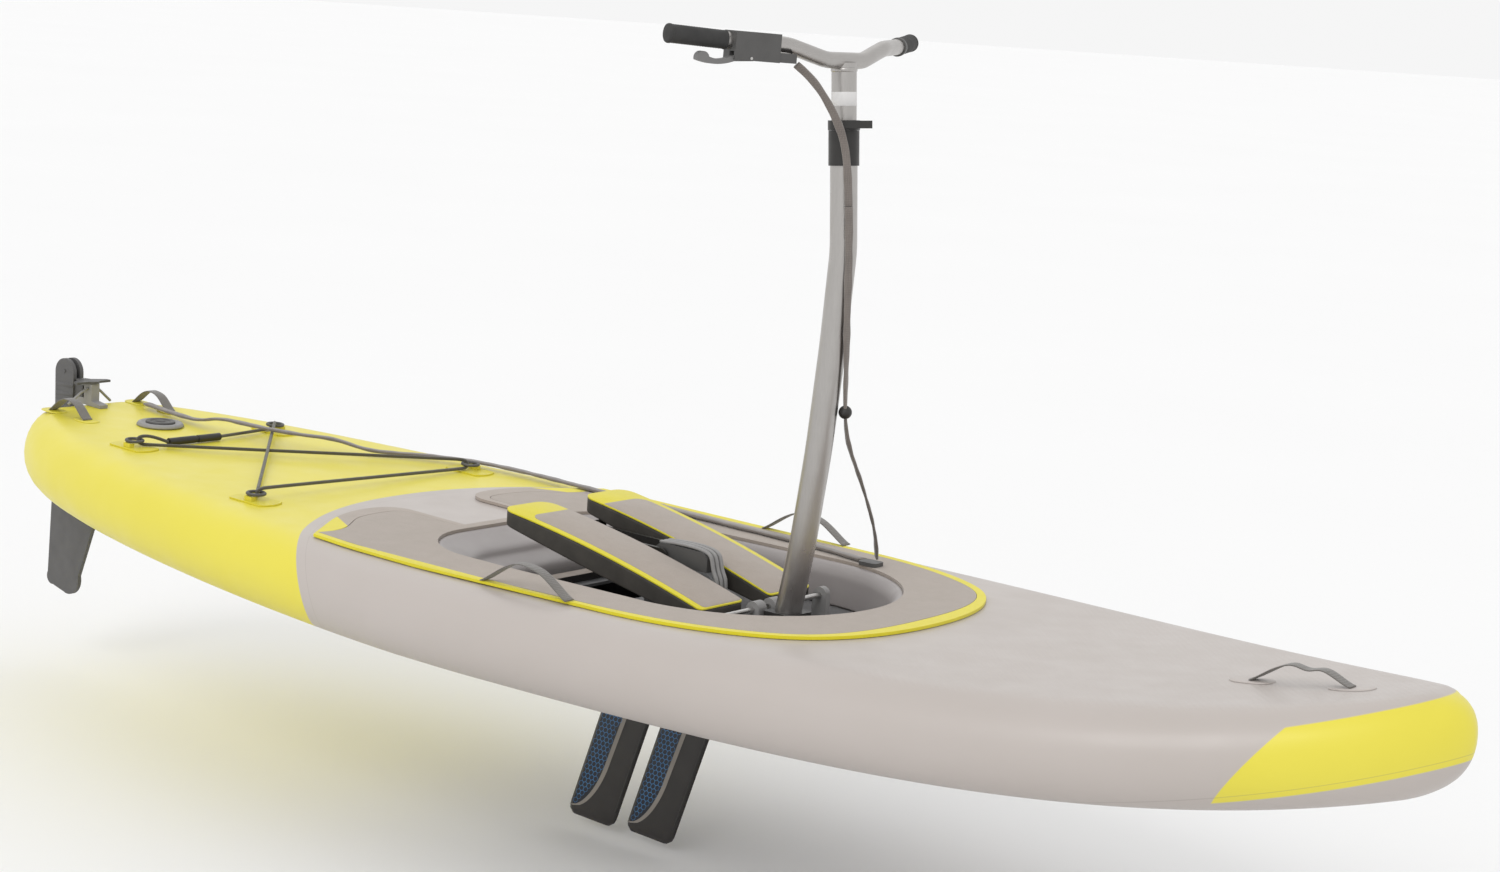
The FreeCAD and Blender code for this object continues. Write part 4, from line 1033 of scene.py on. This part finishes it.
def fin_sheet(name, lead_x, chord, columns, aft_edge, front_edge, end, lift, side):
    """A thin skin on a fin's side, from v = 0 to end, between two edges given in u for each v."""
    verts, faces, rows = [], [], 60
    for j in range(rows + 1):
        v = end * j / rows
        low, high = aft_edge(v), front_edge(v)
        for i in range(columns + 1):
            spot = fin_spot(lead_x, chord, low + (high - low) * i / columns, v, lift)
            verts.append((spot.x, spot.y * side, spot.z))
    for j in range(rows):
        for i in range(columns):
            a = j * (columns + 1) + i
            faces.append((a, a + 1, a + columns + 2, a + columns + 1))
    piece = mesh_from(name, verts, faces)
    if piece.data.polygons[0].normal.y * side < 0:
        piece.data.flip_normals()
    return piece


def honeycomb(name, lead_x, chord, side):
    """Hexagon outlines laid over the window, as thin raised strips."""
    pitch, verts, faces = CELL_PITCH, [], []
    height = FIN_TOP - FIN_TIP
    for row in range(40):
        for column in range(12):
            across = (column + 0.5 * (row % 2)) * pitch + 0.012
            down = row * pitch * 0.866
            u, v = across / chord, down / height
            if v > 0.95 or u > window_edge(min(v + 0.01, 0.95)) - 0.115 or u < 0.08:
                continue
            first = len(verts)
            for radius in (CELL_INNER, CELL_OUTER):
                for k in range(6):
                    turn = math.pi / 6 + k * math.pi / 3
                    at_u = u + radius * pitch * math.cos(turn) / chord
                    at_v = v + radius * pitch * math.sin(turn) / height
                    spot = fin_spot(lead_x, chord, min(max(at_u, 0.03), 0.99),
                                    min(max(at_v, 0.0), 0.99), BAND_LIFT)
                    verts.append((spot.x, spot.y * side, spot.z))
            for k in range(6):
                n = (k + 1) % 6
                faces.append((first + k, first + n, first + 6 + n, first + 6 + k))
    piece = mesh_from(name, verts, faces, smooth=False)
    for polygon in piece.data.polygons:
        if polygon.normal.y * side < 0:
            polygon.flip()
    return piece


def make_fin(word, lead_x, chord):
    body = f"fin_{word}"
    columns, rows = 18, 40
    verts = []
    for j in range(rows + 1):
        v = j / rows
        nip = max(0.0, (v - 0.93) / 0.07)
        corner = 1 - math.sqrt(max(0.0, 1 - nip ** 2))
        for i in range(2 * columns):
            side = 1 if i <= columns else -1
            u = i / columns if i <= columns else (2 * columns - i) / columns
            u = 0.5 + (u - 0.5) * (1 - 0.22 * corner)
            spot = fin_spot(lead_x, chord, min(max(u, 0.0), 1.0), v)
            thin = 1 - 0.75 * corner
            verts.append((spot.x, (spot.y * thin + 0.0006) * side, spot.z))
    count = 2 * columns
    faces = tube_faces(rows + 1, count)
    faces += [ring_face(0, count), ring_face(rows, count)[::-1]]
    blade = mesh_from(f"{body}_blade", verts, faces)
    tidy_normals(blade)
    finish_piece(blade, body, "fin", body, slot="fin")
    for side, tag in SIDES:
        strip = fin_sheet(f"{body}_band_{tag}", lead_x, chord, 3, band_edge, window_edge, 0.95,
                          BAND_LIFT, side)
        finish_piece(strip, body, "fin_band", slot="fin")
        glass = fin_sheet(f"{body}_window_{tag}", lead_x, chord, 8, lambda v: 0.06,
                          lambda v: max(0.07, band_edge(v)), 0.94, PANE_LIFT, side)
        finish_piece(glass, body, "fin_dark", slot="fin")
        cells = honeycomb(f"{body}_mesh_{tag}", lead_x, chord, side)
        finish_piece(cells, body, "fin_blue", slot="fin")


# ---------------- handlebar details

MAST_FOOT = Vector((0.4415, 0, 0.800))
LEAN = math.radians(4.86)
MAST_AXIS = Vector((-math.sin(LEAN), 0, math.cos(LEAN)))
BAR_CENTRE = MAST_FOOT + MAST_AXIS * 0.316
BAR_INNER, BAR_OUTER = Vector((-0.062, 0.248, 0.025)), Vector((-0.107, 0.349, 0.031))


def lathe(name, start, axis, profile, count=48):
    """A turned piece: profile is a list of (distance along, radius)."""
    axis = axis.normalized()
    first = axis.orthogonal().normalized()
    second = axis.cross(first)
    verts = []
    for along, radius in profile:
        for i in range(count):
            turn = 2 * math.pi * i / count
            verts.append(start + axis * along + (first * math.cos(turn)
                                                 + second * math.sin(turn)) * radius)
    faces = tube_faces(len(profile), count)
    faces += [ring_face(0, count), ring_face(len(profile) - 1, count)[::-1]]
    piece = mesh_from(name, verts, faces)
    tidy_normals(piece)
    return piece


def make_grips():
    for side, word in SIDES:
        mirror = Vector((1, side, 1))
        inner, outer = BAR_CENTRE + BAR_INNER * mirror, BAR_CENTRE + BAR_OUTER * mirror
        along = outer - inner
        length = along.length
        profile = [(0.006, 0.0146), (0.006, 0.0162), (0.0072, 0.0165)]
        steps = 40
        for i in range(steps + 1):
            share = i / steps
            rib = 0.0005 * (i % 2)
            profile.append((0.009 + (length - 0.012) * share, 0.0154 + rib))
        profile += [(length - 0.0015, 0.0164), (length + 0.002, 0.0165), (length + 0.0042, 0.0155),
                    (length + 0.005, 0.0130), (length + 0.005, 0.0)]
        grip = lathe(f"grip_rubber_{word}", inner, along, profile)
        split_edges(grip, 60)
        finish_piece(grip, "handlebar", "rubber", f"grip_{word}", slot="rubber")
        if word == "port":
            collar = lathe("bar_collar_port", inner, along,
                           [(-0.010, 0.0146), (-0.010, 0.0164), (-0.009, 0.0170),
                            (0.003, 0.0170), (0.004, 0.0164), (0.004, 0.0146)])
            finish_piece(collar, "handlebar", "charcoal", slot="grey_plastic")
    label = lathe("post_label", MAST_FOOT, MAST_AXIS,
                  [(0.238, 0.0221), (0.2382, 0.02225), (0.2618, 0.02225), (0.262, 0.0221)])
    finish_piece(label, "handlebar", "label", slot="light_plastic")
    weld = lathe("post_weld", MAST_FOOT, MAST_AXIS,
                 [(0.296, 0.0218), (0.2975, 0.0229), (0.300, 0.0234), (0.3025, 0.0229),
                  (0.304, 0.0218)])
    finish_piece(weld, "handlebar", "aluminium", slot="aluminium")


# ---------------- rudder head, valve and drive

VALVE_X, VALVE_AXIS = -1.340, Vector((0.028, 0, 1))


def make_rudder_ribs():
    for side, word in SIDES:
        verts, faces = [], []
        for k in range(4):
            z = 0.196 + 0.020 * k
            first = len(verts)
            for x in (-1.6795, -1.6765, -1.6245, -1.6215):
                drop = 0.4 if x in (-1.6795, -1.6215) else 1.0
                for h, w in ((-0.0045, 0.0), (-0.003, 1.0), (0.003, 1.0), (0.0045, 0.0)):
                    verts.append((x, side * (0.0139 + 0.0018 * w * drop), z + h * drop))
            for row in range(3):
                for col in range(3):
                    a = first + row * 4 + col
                    faces.append((a, a + 1, a + 5, a + 4))
        ribs = mesh_from(f"rudder_ribs_{word}", verts, faces)
        tidy_normals(ribs)
        finish_piece(ribs, "rudder_head", "rudder", slot="rudder")


def make_valve():
    top = Vector((VALVE_X, 0, deck_z(VALVE_X) + 0.0012))
    profile = [(0.0, 0.0505), (0.003, 0.0500), (0.0065, 0.0475), (0.0078, 0.0445),
               (0.0078, 0.0400), (0.0068, 0.0385), (0.0060, 0.0350), (0.0060, 0.0345)]
    ring = lathe("valve_ring", top, VALVE_AXIS, profile, 72)
    finish_piece(ring, "board", "light", "valve_body", slot="light_plastic")
    cap = lathe("valve_cap_dial", top + Vector((0, 0, 0.0035)), VALVE_AXIS,
                [(0.0, 0.0318), (0.0055, 0.0318), (0.0068, 0.0305), (0.0068, 0.0225),
                 (0.0050, 0.0212), (0.0050, 0.0120), (0.0072, 0.0105), (0.0072, 0.0)], 72)
    finish_piece(cap, "valve_cap", "charcoal", "valve_cap", slot="grey_plastic")


def make_drive_bands():
    """Rounded bands that run over the drive's block and down its front."""
    for k, y in enumerate((-0.0125, 0.0, 0.0125)):
        path = smooth_path([(0.085, y, 0.2085), (0.130, y, 0.2120), (0.180, y, 0.2105),
                            (0.2035, y, 0.2040), (0.2090, y, 0.1900), (0.2125, y, 0.1740),
                            (0.2230, y, 0.1560), (0.2235, y, 0.1250), (0.2235, y, 0.0900)])
        band = ribbon(f"drive_band_{k}", path, front_of_block, 0.0088, 0.0050)
        finish_piece(band, "board", "light", slot="light_plastic")


def front_of_block(point, _share):
    return Vector((1, 0, 1)) if point.z < 0.2 else UP


# ---------------- CAD nodes that show

FINISHES = {
    "drive_well": "tray", "drive_deck": "tray", "well_cross_beam": "beam",
    "ring_patches": "patch", "tie_rings": "charcoal", "mast_base_collar": "black",
    "mast_lower_tube": "aluminium", "mast_upper_tube": "aluminium",
    "handlebar_tube": "bar_aluminium", "mast_fasteners": "steel", "drive_latch_knob": "charcoal",
    "clamp_sleeve": "black", "clamp_ring": "black", "clamp_lever": "black",
    "lever_housing": "charcoal", "lever_pivot_screw": "steel", "steering_lever": "lever_grey",
    "pedal_lugs": "light", "pedal_pins": "steel", "drive_spine": "tray",
    "drive_spine_cap": "charcoal", "drive_shafts": "steel",
    "crank_arm": "black", "pedal_roller": "black", "fin_mast": "black",
    "rudder_knuckle": "charcoal", "rudder_pin": "steel", "rudder_cheeks": "rudder",
    "rudder_blade": "rudder", "tiller_arm": "charcoal", "rudder_bracket": "light",
    "sleeve_toggle": "black", "deck_fitting": "charcoal", "cord_lock": "black",
}
PLAIN_EDGE = 0.0010
WIDE_EDGES = {"rudder_blade": 0.0032, "rudder_cheeks": 0.0022, "pedal_lugs": 0.0025,
              "lever_housing": 0.006, "drive_spine": 0.003, "drive_spine_cap": 0.005,
              "steering_lever": 0.003, "mast_base_collar": 0.0035, "well_cross_beam": 0.002}


def finish_frame():
    """Rounded edges and the right finish on every CAD node that is left showing."""
    for name, node in nodes.items():
        choice = [finish for word, finish in FINISHES.items() if name.startswith(word)]
        if not choice or node.hide_render:
            continue
        paint(node, choice[-1])
        add_bevel(node, WIDE_EDGES.get(name, PLAIN_EDGE), 35)
        smooth_shaded(node.data)
        add_modifier(node, "WEIGHTED_NORMAL", keep_sharp=True, weight=60)


make_fairing()
make_handles()
make_fin("front", 0.251, 0.117)
make_fin("rear", 0.108, 0.120)
make_grips()
make_rudder_ribs()
make_valve()
make_drive_bands()
finish_frame()


# ---------------- stage and light

FLOOR_REACH, FLOOR_DROP = 300, 0.02
SKY = 0.92
SUNS = (("key", (1.2, -4.2, 3.4), 0.78, 30), ("fill", (-4.0, 3.0, 5.0), 0.15, 60))


def make_stage():
    floor_z = cad_box[0].z - FLOOR_DROP
    corners = [(-FLOOR_REACH, -FLOOR_REACH), (FLOOR_REACH, -FLOOR_REACH),
               (FLOOR_REACH, FLOOR_REACH), (-FLOOR_REACH, FLOOR_REACH)]
    floor = mesh_from("floor", [(x, y, floor_z) for x, y in corners], [(0, 1, 2, 3)])
    m = Nodes("floor_pale", "matte_plastic", 0.9)
    m.colour(m.varied((0.86, 0.86, 0.86), (0.88, 0.88, 0.88), 0.5))
    floor.data.materials.append(m.material)
    world = bpy.data.worlds.new("studio")
    world.use_nodes = True
    world.node_tree.nodes["Background"].inputs["Color"].default_value = (1, 1, 1, 1)
    world.node_tree.nodes["Background"].inputs["Strength"].default_value = SKY
    bpy.context.scene.world = world
    for name, spot, strength, spread in SUNS:
        light = bpy.data.lights.new(name, "SUN")
        light.energy = strength
        light.angle = math.radians(spread)
        lamp = link(name, light)
        lamp.rotation_euler = (-Vector(spot)).to_track_quat("-Z", "Y").to_euler()
    bpy.context.scene.view_settings.view_transform = "Standard"


make_stage()
